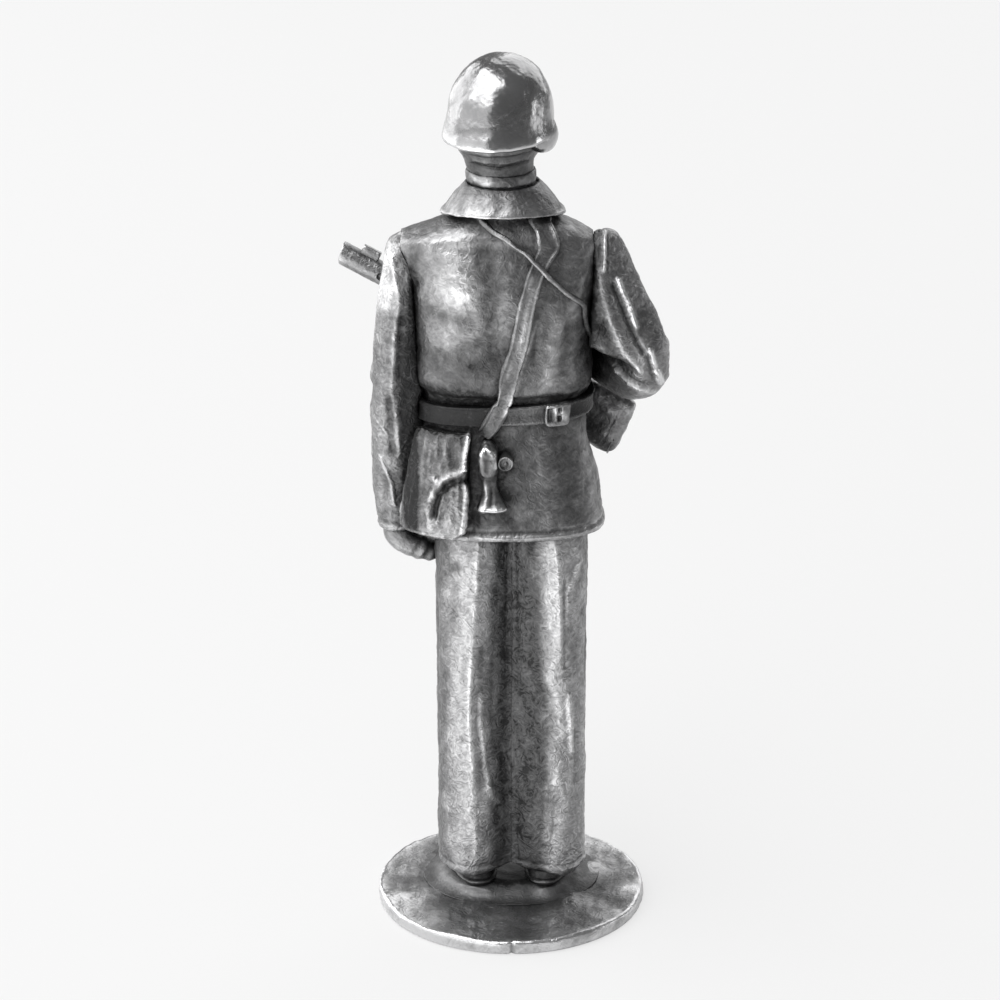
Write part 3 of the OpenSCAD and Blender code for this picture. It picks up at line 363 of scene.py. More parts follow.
def risen(rings, share):
    """Rings lifted towards the front by a share of what the trouser hem rises over the instep."""
    lift = share[:, None]*hem_rise*(0.5 - rings[..., 1]/leg_depth)
    return rings + np.stack([0*lift, 0*lift, lift], -1)


def boot_relief(p, n, u, v):
    """Groove over the sole, a toe cap seam, and laces across the front of the shaft."""
    x, y, z = axes(p)
    welt = 0.07*bell(z - 2.02, 0.09) - 0.1*bell(z - 2.2, 0.06)
    cap = -0.05*bell(y + 3.9, 0.08)*(z > 2.2)
    laces = 0.05*np.cos(2*np.pi*y/0.42)*bell(np.abs(x) - 2.85, 0.4)
    return welt + cap + laces*(z > 2.9)*clamp(-n[..., 1] + n[..., 2])


boot_table = smooth([[0, *row] for row in boot_share], 70)
for side, boot_name, boot_node in ((1, "left_boot_cast", "left_boot"),
                                   (-1, "right_boot_cast", "right_boot")):
    back, up, wide, long, rise = boot_table[:, 1:].T
    full = np.full(len(back), leg_x)
    boot_rows = np.stack([full, 2.46 - boot_length/2 + boot_length*back, sole_z + 1.15*up, 3*wide,
                          boot_length*long, 2.5 + 0*back], 1)
    boot_rings = ovals(boot_rows, 160)
    out, ahead = boot_rings[..., 0] - leg_x, boot_rings[..., 1].copy()
    boot_rings[..., 0] = leg_x + out*np.cos(toe_turn) - ahead*np.sin(toe_turn)
    boot_rings[..., 1] = out*np.sin(toe_turn) + ahead*np.cos(toe_turn)
    boot_rings = risen(boot_rings, rise)*[side, 1, 1]
    cast(boot_name, boot_node, boot_pewter, shell(boot_rings, boot_relief, ends=0.05, skin=0.6))

# Trouser legs: wide straight legs with a pressed crease at the back and front, cast in one with the hip
# block that the jacket hides. They touch along a shallow web, and each hem hangs lowest at the heel.
cloth_pewter = pewter("cloth_pewter", 0.62, 0.45, 0.25, -0.03, 0.065, -0.08)
leg_rows = [
    [leg_x, -0.16, trouser_z, 5.1, leg_depth, 2.6], [leg_x, 0, 5.5, 5.0, 5.04, 2.6],
    [leg_x, 0.05, 10.5, 4.95, 4.89, 2.5], [leg_x, 0, 16.75, 5.04, 4.94, 2.5],
    [leg_x, 0, 23.0, 5.15, 5.1, 2.5], [leg_x, 0, 29.55, 5.2, leg_depth, 2.5]]
creases = {1: ([3, 10.4, 14.8, 18.1, 23.9, 27], [2.42, 2.6, 2.86, 2.78, 2.39, 2.2]),
           -1: ([3, 8.6, 12, 16.3, 17.5, 23.7, 27], [-3.45, -3.74, -3.98, -3.75, -3.41, -3.17, -2.9])}
leg_marks = {
    1: [(0.07, 0.16, [2.23, 27.5, 2.35, 24.0]), (0.09, 0.13, [2.62, 19.5, 2.86, 14.83, 2.72, 11.5]),
        (-0.1, 0.3, [2.0, 19.5, 2.3, 14.8, 2.1, 9.5]),
        (0.1, 0.16, [2.05, 16.3, 2.1, 14.5, 1.75, 11.0, 1.5, 9.4]), (0.12, 0.3, [1.5, 9.3, 0.97, 8.1]),
        (-0.08, 0.45, [3.6, 25.5, 3.7, 21.0]), (0.07, 0.5, [3.5, 18.6, 3.8, 12.0]),
        (0.05, 0.22, [4.4, 8.4, 4.1, 4.2]), (-0.07, 0.3, [4.3, 17.5, 4.5, 14.0])],
    -1: [(0.06, 0.14, [-2.9, 27.5, -3.17, 23.66, -3.2, 19.9]), (0.12, 0.12, [-3.75, 16.3, -3.98, 12.0]),
         (0.12, 0.15, [-4.43, 25.8, -3.8, 23.9]), (-0.12, 0.12, [-3.5, 24.6, -3.5, 18.4]),
         (-0.07, 0.4, [-2.0, 15.5, -2.2, 10.0]), (-0.12, 0.16, [-4.2, 13.6, -4.15, 9.8]),
         (-0.08, 0.4, [-3.9, 21.0, -4.2, 18.0]), (-0.07, 0.3, [-3.0, 8.0, -2.8, 4.5])]}


def leg_relief(side):
    """Folds of one trouser leg, its hem and the straighter crease at the front."""
    def relief(p, n, u, v):
        """Two planes that meet in the crease at the back and in front, hand-cut folds and a thin hem."""
        x, y, z = axes(p)
        above = z - trouser_z - hem_rise*(0.5 - y/leg_depth)
        hem = 0.03*bell(above - 0.14, 0.13) - 0.04*bell(above - 0.42, 0.1)
        outward = side*(x - np.interp(z, *creases[side]))
        fall = np.maximum(0, 1 - np.where(outward > 0, outward/2.6, -outward/1.5))
        planes = 0.46*fall*clamp(3*n[..., 1])
        planes += 0.34*np.maximum(0, 1 - np.abs(side*x - 2.6)/2.4)*clamp(-3*n[..., 1])
        front = [
            (0.06, 0.14, [side*2.6, 29, side*2.6, 4]), (0.1, 0.3, [side*1.2, 11, side*3.4, 9.6]),
            (-0.08, 0.2, [side*1.2, 10.4, side*3.2, 8.9]), (0.08, 0.3, [side*1.4, 7.4, side*3.9, 6.4]),
            (0.09, 0.3, [side*1.0, 17.5, side*3.6, 16.4]), (-0.08, 0.22, [side*1.2, 16.8, side*3.2, 15.8])]
        outer = [(0.05, 0.14, [0.1, 28, 0.2, 4]), (-0.1, 0.5, [0.9, 22, 1.0, 12]),
                 (0.1, 0.4, [-1.2, 14, -0.8, 6])]
        height = (hem + planes + strokes(p, n, "back", leg_marks[side]) + strokes(p, n, "front", front)
                  + strokes(p, n, "left" if side > 0 else "right", outer)
                  + 0.025*lumps(p*[1, 1, 0.45], 1.3, 41))
        return height*clamp(np.abs(x)/0.6)
    return relief


for side, leg_name, leg_node in ((1, "left_leg_cast", "left_leg"), (-1, "right_leg_cast", "right_leg")):
    rows = smooth(leg_rows, 230)
    leg_rings = ovals(rows, 208)
    leg_rings = risen(leg_rings, clamp(1 - (rows[:, 2] - trouser_z)/7.5))
    inner = clamp((1.3 - leg_rings[..., 0])/1.2)
    leg_rings[..., 0] -= 0.24*inner
    between = np.abs(leg_rings[..., 1])
    least = 2.4 - 0.6*bell(leg_rings[..., 0], 0.95)
    between = np.sign(leg_rings[..., 1])*np.maximum(between, np.where(between > 0.8, least, 0))
    leg_rings[..., 1] = np.where(leg_rings[..., 0] < 1.5, between, leg_rings[..., 1])
    leg_rings[..., 0] = np.maximum(leg_rings[..., 0], -0.015)
    cast(leg_name, leg_node, cloth_pewter,
         shell(leg_rings*[side, 1, 1], leg_relief(side), ends=0.06, skin=0.8))

# Jacket: the body casting, a blouse gathered over the belt and a flared skirt that is hollow at the hem.
# Folds, the shoulder seams, the front opening with its buttons and two pockets are cut in the master.
jacket_pewter = pewter("jacket_pewter", 0.62, 0.24, 0.45, 0.02, 0.04, -0.07)
jacket_rows = [
    [0.54, -0.18, 28.0, 13.5, 8.9, 2.6], [0.51, -0.27, 31.02, 12.56, 8.28, 2.55],
    [0.6, -0.31, 33.88, 11.2, 7.48, 2.5], [0.5, -0.27, 35.59, 10.9, 6.8, 2.5],
    [0.45, -0.27, 37.35, 11.0, 6.8, 2.5], [0.48, -0.18, 38.18, 11.55, 7.48, 2.5],
    [0.54, 0, 40.84, 11.62, 7.5, 2.5], [0.6, 0, 43.28, 11.8, 7.58, 2.5], [0.6, 0, 45.84, 12.31, 7.13, 2.5],
    [0.6, 0, 47.5, 12.5, 6.2, 2.4], [0.6, 0, 48.25, 10.75, 6.08, 2.3], [0.57, 0, 49.0, 7.5, 5.33, 2.2],
    [0.57, 0, 49.6, 5.63, 4.84, 2.1], [0.57, 0, 50.5, 4.8, 4.8, 2]]
jacket_table = smooth(jacket_rows, 262)
left_seat_x, right_seat_x, armpit_z, waist_z = 6.5, -5.3, 43.7, 36.4
opening_x, button_heights = 0.55, (38.6, 41.1, 45.9)


def jacket_relief(p, n, u, v):
    """Blouse folds and blades at the back, the hem, arm seams, front opening, pockets and buttons."""
    x, y, z = axes(p)
    back = [
        (0.12, 1.5, [3.6, 45.4]), (0.12, 1.3, [4.0, 41.8]), (-0.1, 0.7, [1.7, 47.6, 1.3, 44.0, 1.0, 40.5]),
        (-0.07, 0.4, [5.2, 43.4, 2.6, 43.2]), (-0.09, 0.14, [4.3, 49.7, 5.4, 49.05, 6.6, 48.3]),
        (0.12, 0.5, [-2.95, 43.2, -2.7, 41.2, -2.45, 38.8]), (-0.08, 0.22, [-1.7, 43.4, -1.4, 40.2]),
        (-0.1, 0.3, [-3.7, 42.4, -3.3, 39.4]), (0.08, 0.4, [-4.4, 45.6, -4.1, 43.0]),
        (0.1, 1.0, [5.8, 38.8, 3.7, 38.5, 1.5, 38.8]), (-0.16, 0.6, [5.8, 36.9, 3.7, 36.6, 1.5, 36.9]),
        (0.07, 0.6, [-1.84, 35.0, -2.2, 29.4]), (-0.06, 0.6, [-3.2, 34.6, -4.0, 29.4]),
        (0.08, 0.3, [-4.6, 34.4, -5.6, 28.8]), (-0.1, 0.4, [0.2, 29.9, -0.4, 28.6]),
        (0.08, 0.2, [2.4, 29.6, 2.2, 28.5])]
    front = [
        (0.16, 1.3, [3.6, 44.6]), (0.16, 1.3, [-2.4, 44.6]), (0.2, 0.7, [5.4, 38.6, 1.6, 38.4]),
        (0.2, 0.7, [-0.6, 38.4, -4.4, 38.6]), (-0.12, 0.4, [2.0, 43.0, 4.9, 40.4]),
        (-0.1, 0.3, [-0.8, 43, -4, 40.2]), (0.1, 0.3, [1.6, 41.0, 4.6, 39.4]),
        (0.1, 0.3, [-0.6, 41.2, -3.8, 39.6]), (-0.1, 0.5, [3.0, 34.6, 3.6, 29.0]),
        (0.1, 0.5, [4.4, 34.4, 5.2, 29.0]), (-0.1, 0.5, [-2.0, 34.6, -2.6, 29.0]),
        (0.1, 0.5, [-3.6, 34.4, -4.2, 29.0])]
    height = strokes(p, n, "back", back) + strokes(p, n, "front", front)
    hem = clamp(n[..., 2] + 2.2)*(np.hypot(x - 0.5, y) > 4.0)
    height += hem*(0.09*bell(z - 28.22, 0.16) - 0.07*bell(z - 28.62, 0.12))
    facing = clamp(-3*n[..., 1])
    placket = np.abs(x - opening_x)
    height += facing*(0.07*clamp((0.75 - placket)/0.12) - 0.07*bell(placket - 0.86, 0.07))
    for pocket_x in (3.3, -2.2):
        dx, dz = np.abs(x - pocket_x), z - 43.9
        inside = clamp((1.15 - dx)/0.1)
        flap = 0.03*clamp((dz - 0.45 + 0.35*dx)/0.1)*clamp((1.6 - dz)/0.1)
        height += facing*inside*(0.03*clamp((1.5 - np.abs(dz))/0.1) + flap)
    for button_z in button_heights:
        reach = np.hypot(x - opening_x, z - button_z)
        height += facing*(0.3*clamp((0.42 - reach)/0.1) - 0.08*bell(reach - 0.2, 0.05))
    return height


hollow_rows = [
    [0.54, -0.18, 29.6, 5.6, 3.4, 2.6], [0.54, -0.18, 29.6, 11.9, 7.5, 2.6],
    [0.54, -0.18, 28.12, 12.46, 7.86, 2.6], [0.54, -0.18, 28.0, 12.7, 8.1, 2.6],
    [0.54, -0.18, 27.93, 13.0, 8.4, 2.6], [0.54, -0.18, 27.96, 13.35, 8.75, 2.6]]
jacket_rings = ovals(np.concatenate([evenly(np.array(hollow_rows), 28), jacket_table]), 300)


def left_arm_x(z):
    """Place across of the straight inner side of the hanging left arm, which slants out downwards."""
    return left_seat_x + 0.44*(47.5 - z)/19.5


def left_seat(z):
    """Place across of the joint between the jacket and the left sleeve, which curves out to the top."""
    top = clamp((z - 45.0)/2.6)
    return left_arm_x(z) + 0.7*top*top*(3 - 2*top)


jacket_x, _, jacket_z = axes(jacket_rings)
shoulder_reach = clamp((jacket_z - 45.0)/2.6)*clamp((49.0 - jacket_z)/1.2)
jacket_x += shoulder_reach*np.clip(jacket_x - 4.5, 0, 3)*0.42
jacket_x[:] = np.minimum(jacket_x, left_seat(jacket_z))
jacket_x[:] = np.where(jacket_z > armpit_z, np.maximum(jacket_x, right_seat_x), jacket_x)
cast("jacket_cast", "jacket", jacket_pewter, shell(jacket_rings, jacket_relief))


def jacket_oval(z):
    """Middle x and y, width, depth and roundness of the jacket at height z."""
    return (np.interp(z, jacket_table[:, 2], jacket_table[:, k]) for k in (0, 1, 3, 4, 5))


def jacket_point(a, z):
    """Point of the jacket at angle a, in degrees, and height z."""
    x, y, w, d, p = jacket_oval(z)
    a = np.radians(a)
    return np.stack([x + w/2*bulge(np.cos(a), p), y + d/2*bulge(np.sin(a), p), z + 0*a], -1)


def jacket_side(p, side):
    """Place across of the jacket's side at the depth and height of p, with the belt added at the waist."""
    x, y, w, d, roundness = jacket_oval(p[..., 2])
    share = np.clip(np.abs(p[..., 1] - y)/(d/2), 0, 0.9)
    belt = 0.42*np.exp(-((p[..., 2] - waist_z)/0.95)**4)
    return x + side*(w/2*(1 - share**roundness)**(1/roundness) + belt + 0.02)


def webbed(rings, side, low, high):
    """Arm rings whose inner side is drawn to the jacket between two heights, as a thin web of metal."""
    middle = rings.mean(1, keepdims=True)
    inner = clamp(side*(middle - rings)[..., 0]/1.2)
    share = inner*inner*(3 - 2*inner)
    share = share*clamp((rings[..., 2] - low)/1.2)*clamp((high - rings[..., 2])/1.2)
    share = share*clamp((2.9 - np.abs(rings[..., 1]))/0.8)
    drawn = rings.copy()
    drawn[..., 0] += share*side*np.minimum(side*(jacket_side(rings, side) - rings[..., 0]), 0)
    return drawn


def jacket_slopes(a, z):
    """Steps on the jacket over 2 degrees round it and over 0.2 mm upwards."""
    return (jacket_point(a + 1, z) - jacket_point(a - 1, z),
            jacket_point(a, z + 0.1) - jacket_point(a, z - 0.1))


def lifted(a, z, lift):
    """Point that stands off the jacket by lift along the outward normal there."""
    out = unit(np.cross(*jacket_slopes(a, z)))
    return jacket_point(a, z) + np.asarray(lift)[..., None]*out


# Waist belt: a flat strap with raised edges that is cast in one hoop and slipped under the blouse. It
# rises from the left hip to the right one.


def belt_z(a):
    """Height of the middle of the belt at angle a."""
    return waist_z - 0.25*np.cos(np.radians(a))


belt_angles = np.linspace(0, 360, 360, endpoint=False)[:, None]
section = np.linspace(0, 2*np.pi, 44, endpoint=False)
belt_across, belt_out = bulge(np.cos(section), 7), bulge(np.sin(section), 7)
belt_rings = lifted(belt_angles + 0*section, belt_z(belt_angles) + 0.675*belt_across, 0.15 + 0.25*belt_out)


def belt_relief(p, n, u, v):
    """Raised edges and a sunk middle on the outer face."""
    across = np.abs(p[..., 2] - waist_z + 0.25*unit(p[..., :2] - [0.45, -0.27])[..., 0])
    return 0.05*bell(across - 0.5, 0.1) - 0.03*bell(across, 0.3)


cast("waist_belt_cast", "waist_belt", leather_pewter, shell(belt_rings, belt_relief, hooped=True, skin=0.5))

# Belt buckle and slider: small cast plates on the belt, the buckle a frame with its bar and tongue in
# front, the slider a ribbed keeper at the back, with a painted highlight over it.
bright_pewter = pewter("bright_pewter", 0.3, 0.2, 0.2, 0.0, 0.03, -0.04)


def pad(angle, z, width, height, lift, thickness, roundness, count, sides, crown=0.0):
    """Rings of a plate on the jacket, from the middle of its back round its edge to the middle of its face.
    Each ring is a superellipse of that roundness, and crown lifts the middle of the face."""
    share = [
        [0.04, 0, 0], [0.5, 0, 0], [0.96, 0, 0], [1, 0, 0.1], [1, 0, 0.62], [0.97, 0, 0.84], [0.9, 0, 0.96],
        [0.8, 0, 1], [0.4, 0, 1 + 0.8*crown], [0.04, 0, 1 + crown]]
    rows = evenly(np.array(share)*[width/2, 1, thickness], count)/[width/2, 1, thickness]
    t = np.linspace(0, 2*np.pi, 2001)
    edge = np.stack([width/2*bulge(np.cos(t), roundness), height/2*bulge(np.sin(t), roundness), 0*t],
                    axis=1)
    across, up, flat = evenly(edge, sides + 1)[:-1].T
    size = np.interp(z, jacket_table[:, 2], jacket_table[:, 3] + jacket_table[:, 4])/2
    reach, out = rows[:, :1], rows[:, 2:]
    return lifted(angle - 360/(np.pi*size)*reach*across, z - reach*up, lift + thickness*out + flat)


def framed(x0, z0, half_w, half_z, bar):
    """Relief of a frame with a sunk field and an upright bar that stands beside its middle by bar."""
    def relief(p, n, u, v):
        """Sunk field inside the frame, with the bar left standing."""
        x, _, z = axes(p)
        field = clamp((half_w - np.abs(x - x0))/0.08)*clamp((half_z - np.abs(z - z0))/0.08)
        standing = bell(x - x0 - bar, 0.16)
        tongue = bell(z - z0, 0.13)*(x < x0 + bar)
        return field*(-0.2 + 0.2*np.maximum(standing, tongue))*clamp(3*np.abs(n[..., 1]) - 1)
    return relief


buckle_turn, slider_turn = 270, 122
buckle_place = jacket_point(buckle_turn, belt_z(buckle_turn))
cast("belt_buckle_cast", "belt_buckle", bright_pewter,
     shell(pad(buckle_turn, belt_z(buckle_turn), 2.1, 1.7, 0.4, 0.35, 6, 70, 96),
           framed(buckle_place[0], waist_z, 0.74, 0.55, 0.35), skin=0.3))
slider_place = jacket_point(slider_turn, belt_z(slider_turn))
cast("belt_slider_cast", "belt_slider", bright_pewter,
     shell(pad(slider_turn, belt_z(slider_turn), 1.5, 1.7, 0.4, 0.35, 6, 60, 88),
           framed(slider_place[0], slider_place[2], 0.5, 0.5, -0.1), skin=1.2))

# Haversack: a flat bag cast with its flap closed, on the left hip under the belt. Its edge towards the
# back stands up sharp, with a painted highlight along it, and the flap's lower edge curves down to the hip,
# with painted shade beneath it.


def bag_relief(p, n, u, v):
    """The flap with its curved edge, the sharp edge by the flask and the slack of the lower cloth."""
    marks = [
        (0.2, 0.15, [2.75, 35.6, 2.95, 34.6, 3.14, 33.1]),
        (0.2, 0.22, [3.14, 33.1, 3.68, 32.75, 4.39, 32.45, 4.8, 32.0, 5.05, 31.2]),
        (0.08, 0.14, [5.1, 32.4, 4.95, 32.2]), (0.08, 0.14, [5.3, 31.4, 5.42, 30.9]),
        (-0.2, 0.24, [2.6, 32.1, 3.2, 32.3, 3.68, 32.25, 4.28, 31.9, 4.69, 31.35, 4.9, 30.6, 5.0, 29.9]),
        (0.22, 0.2, [2.95, 32.0, 3.0, 31.3, 3.15, 29.8, 3.2, 28.9]), (0.14, 0.7, [3.6, 31.0, 3.9, 29.6]),
        (0.12, 0.14, [4.5, 31.2, 4.72, 30.4, 4.9, 29.5]), (0.06, 0.25, [4.2, 35.0, 4.3, 33.6]),
        (-0.06, 0.2, [3.9, 34.8, 3.9, 33.4]), (0.08, 0.3, [5.6, 30.2, 5.4, 29.2])]
    return strokes(p, n, "back", marks) + 0.035*lumps(p*[1, 1, 0.3], 0.5, 51)*clamp(n[..., 1]*3)


bag_pewter = pewter("bag_pewter", 0.5, 0.4, 0.35, -0.04, 0.06, -0.08)
cast("haversack_cast", "haversack", bag_pewter,
     shell(pad(48.5, 31.75, 4.4, 7.0, -0.05, 1.1, 12, 160, 320, 0.1), bag_relief))

# Haversack strap: a flat band with two raised edges. It leaves the belt at the back, crosses the right
# shoulder under the collar and comes down over the chest to the bag on the left hip.


def strap(route, width, thickness, count, sides, rims, roundness):
    """Band on the jacket along rows [angle, share of the height from waist to neck, lift]. Its section is a
    superellipse whose face rises by rims near its two edges, and it lies square to the band's way."""
    rows = smooth([[a, waist_z + 14.1*s, lift] for a, s, lift in route], count)
    middle = lifted(rows[:, 0], rows[:, 1], rows[:, 2])
    a, z, lift = (column[:, None] for column in rows.T)
    ea, ez = jacket_slopes(rows[:, 0], rows[:, 1])
    way = unit(np.cross(unit(np.cross(ea, ez)), np.gradient(middle, axis=0)))
    turn = (2*np.sum(way*ea, -1)/np.sum(ea*ea, -1))[:, None]
    climb = (0.2*np.sum(way*ez, -1)/np.sum(ez*ez, -1))[:, None]
    t = np.linspace(0, 2*np.pi, sides, endpoint=False)
    c, out = bulge(np.cos(t), roundness), bulge(np.sin(t), roundness)
    out = np.where(out > 0, out*(1 + rims*bell(np.abs(c) - 0.78, 0.16)), 0.7*out)
    return lifted(a + c*width/2*turn, z + c*width/2*climb, lift + thickness*out)


on_belt = 0.5
strap_route = [
    [80.5, -0.09, 0.3], [83, -0.06, 0.46], [86.2, 0, on_belt], [88.3, 0.055, 0.48], [90.2, 0.11, 0.4],
    [91.5, 0.17, 0.28], [93.5, 0.25, 0.15], [98, 0.4, 0.08], [105, 0.67, 0.04], [118, 0.83, 0.04],
    [134, 0.915, 0.1], [157, 0.95, 0.1], [180, 0.955, 0.1], [203, 0.95, 0.1], [228, 0.91, 0.1],
    [250, 0.75, 0.1], [268, 0.5, 0.1], [285, 0.26, 0.1], [295, 0.13, 0.25], [303, 0.055, on_belt],
    [312, 0, on_belt], [323, -0.05, on_belt], [336, -0.1, 0.4], [350, -0.13, 0.1], [364, -0.135, 0.1],
    [374, -0.135, 0.1]]
cast("haversack_strap_cast", "haversack_strap", jacket_pewter,
     shell(strap(strap_route, 1.14, 0.14, 520, 48, 0.6, 5), ends=0.05, skin=1.0))

# Water flask: a domed bottle in its cover, narrow at the middle and flared at the foot, cast on the skirt
# beside the haversack.
flask_table = [
    [1.28, 30.29, 1.9, 1.1], [1.28, 30.5, 2.05, 1.3], [1.32, 30.95, 1.6, 1.15], [1.4, 31.6, 1.1, 1.0],
    [1.46, 32.3, 1.1, 1.05], [1.52, 33.0, 1.32, 1.25], [1.56, 33.8, 1.4, 1.4], [1.58, 34.4, 1.2, 1.3],
    [1.6, 34.8, 0.6, 0.8]]
flask_rows = [[x, jacket_point(85, z)[1] - 0.1 + thick/2, z, wide, thick, 2.5]
              for x, z, wide, thick in flask_table]


def flask_relief(p, n, u, v):
    """The raised arch over the dome, the pinched waist and the turned foot; the highlight on the arch is
    painted later.
    """
    marks = [
        (0.1, 0.16, [2.0, 34.2, 1.7, 34.6, 1.3, 34.3, 1.1, 33.9, 1.05, 33.3]),
        (-0.1, 0.2, [1.6, 33.8, 1.6, 33.1]), (-0.1, 0.16, [1.9, 32.5, 1.4, 32.4, 1.0, 32.6]),
        (0.09, 0.2, [1.7, 32.0, 1.6, 31.4, 1.7, 30.9]), (-0.07, 0.14, [1.3, 31.9, 1.3, 30.9]),
        (0.08, 0.12, [2.1, 30.5, 1.2, 30.45, 0.45, 30.5])]
    return strokes(p, n, "back", marks)


cast("water_flask_cast", "water_flask", bright_pewter,
     shell(ovals(smooth(flask_rows, 130), 120), flask_relief, ends=0.12))

# Snap stud: a round press stud beside the flask, with a raised ring and a dished middle.
stud_x, stud_y, stud_z = jacket_point(88, 33.56)*[0, 1, 1] + [0.4, 1.0, 0]
stud_profile = [
    [0.03, -0.9], [0.5, -0.9], [0.5, 0.12], [0.46, 0.18], [0.4, 0.18], [0.34, 0.08], [0.22, 0.04],
    [0.14, 0.06], [0.1, 0.14], [0.03, 0.16]]
stud_rows = evenly(np.array([[r, 0, out] for r, out in stud_profile]), 60)
stud_t = np.linspace(0, 2*np.pi, 72, endpoint=False)
stud_rings = np.stack([stud_x - stud_rows[:, :1]*np.cos(stud_t), stud_y + stud_rows[:, 2:] + 0*stud_t,
                       stud_z + stud_rows[:, :1]*np.sin(stud_t)], -1)
cast("flask_stud_cast", "flask_stud", bright_pewter, shell(stud_rings, skin=0.3))

# Collar: turned down and flared over the shoulders, open in a notch at the front. Its edge is raised and
# rubbed bright, with a painted highlight along its left half at the back, and the thickness of the cloth
# shows all round.
collar_z = 49.4
collar_rows = [[0, 1], [0.45, 0.6], [0.85, 0.18], [1, 0]]
collar_side = smooth([[4.85*(1 - t) + 8.1*t, 4.85*(1 - t) + 7.0*t, collar_z + 2.0*s]
                      for s, t in collar_rows], 26)
collar_inner = collar_side[::-1] - [0.7, 0.7, 0]
collar_inner[:, :2] = np.maximum(collar_inner[:, :2], 4.5)
collar_edge = [[collar_side[0, 0] - 0.35 + 0.35*np.cos(t), collar_side[0, 1] - 0.35 + 0.35*np.cos(t),
                collar_z - 0.12*np.sin(t)] for t in np.radians([150, 120, 90, 60, 30])]
collar_section = np.concatenate([collar_side, collar_inner, collar_edge])
collar_fall = clamp((51.4 - collar_section[:, 2])/2)
collar_cut = 2.5 + 11*collar_fall
collar_turn = np.linspace(0, 1, 300)[:, None]
collar_a = np.radians(270 + collar_cut + collar_turn*(360 - 2*collar_cut))
collar_wave = (0.05*np.sin(3*collar_a) + 0.5*clamp(np.sin(collar_a)))*collar_fall
collar_rings = np.stack([0.57 + collar_section[:, 0]/2*bulge(np.cos(collar_a), 2.1),
                         collar_section[:, 1]/2*bulge(np.sin(collar_a), 2.1),
                         collar_section[:, 2] + collar_wave], -1)


def collar_relief(p, n, u, v):
    """Rubbed lower edge with the stitched line above it, and dents in the left half."""
    low = p[..., 2] - collar_z
    return (0.05*bell(low - 0.1, 0.14) - 0.04*bell(low - 0.42, 0.1)
            + 0.02*lumps(p, 0.9, 61)*clamp(p[..., 0] - 0.5))


cast("collar_cast", "collar", jacket_pewter, shell(collar_rings, collar_relief, ends=0.04, skin=0.7))

# Neck scarf: a flat roll of cloth round the neck above the collar.
scarf_a = np.radians(np.linspace(0, 360, 240, endpoint=False))[:, None]
scarf_t = np.linspace(0, 2*np.pi, 40, endpoint=False)
scarf_r = 2.2 + 0.1*bulge(np.cos(scarf_t), 3)
scarf_x, scarf_z = 0.7, 51.86
scarf_rings = np.stack([scarf_x + scarf_r*np.cos(scarf_a), scarf_r*np.sin(scarf_a),
                        scarf_z + 0.36*bulge(np.sin(scarf_t), 3) + 0*scarf_a], -1)


def scarf_relief(p, n, u, v):
    """Slanting folds, and a pressed patch at the left of the back."""
    turn = np.arctan2(p[..., 1], p[..., 0] - scarf_x)
    folds = 0.012*np.sin(9*turn + 7*(p[..., 2] - scarf_z))
    return folds + strokes(p, n, "back", [(0.1, 0.3, [2.3, 51.9, 1.4, 51.8])])


cast("neck_scarf_cast", "neck_scarf", jacket_pewter, shell(scarf_rings, scarf_relief, hooped=True))

# Head: neck and head in one casting, turned to the right. The face is a plain one of calm and regular
# proportions, cut in low relief under the brim.
skin_pewter = pewter("skin_pewter", 0.3, 0.15, 0.15, 0.0, 0.03)
dome_power, head_turn, rim_rise = 2.35, np.radians(-24), 0.65
neck_rows = [
    [0.6, 0, 50.62, 4.4, 4.4, 2], [0.7, 0, 51.84, 4.3, 4.3, 2], [0.8, 0.05, 52.63, 4.42, 4.5, 2],
    [0.86, 0.1, 53.3, 4.9, 5.0, 2], [0.88, 0.1, 54.0, 5.6, 5.7, 2], [0.8, 0.1, 54.9, 5.5, 5.9, 2]]


def on_neck(made):
    """A shell turned to the figure's right and set at the height of the helmet rim."""
    c, s = np.cos(head_turn), np.sin(head_turn)
    rings = made[0] @ np.array([[c, s, 0], [-s, c, 0], [0, 0, 1]]) + [0.72, 0, 54.1]
    return rings, made[1], made[2]


def neck_relief(p, n, u, v):
    """Creases across the nape."""
    marks = [(-0.08, 0.1, [2.6, 53.0, 0.8, 52.8, -1.0, 53.1]),
             (0.06, 0.12, [2.4, 53.3, 0.6, 53.2, -0.8, 53.4]),
             (-0.06, 0.1, [2.6, 53.6, 0.4, 53.6, -1.2, 53.8]), (0.05, 0.4, [1.8, 54.0, 1.7, 52.5])]
    return strokes(p, n, "back", marks)


def mirrored(marks):
    """The marks, and the same marks on the other side of x = 0."""
    flipped = [(rise, width, (np.reshape(route, (-1, 2))*[-1, 1]).ravel()) for rise, width, route in marks]
    return marks + flipped


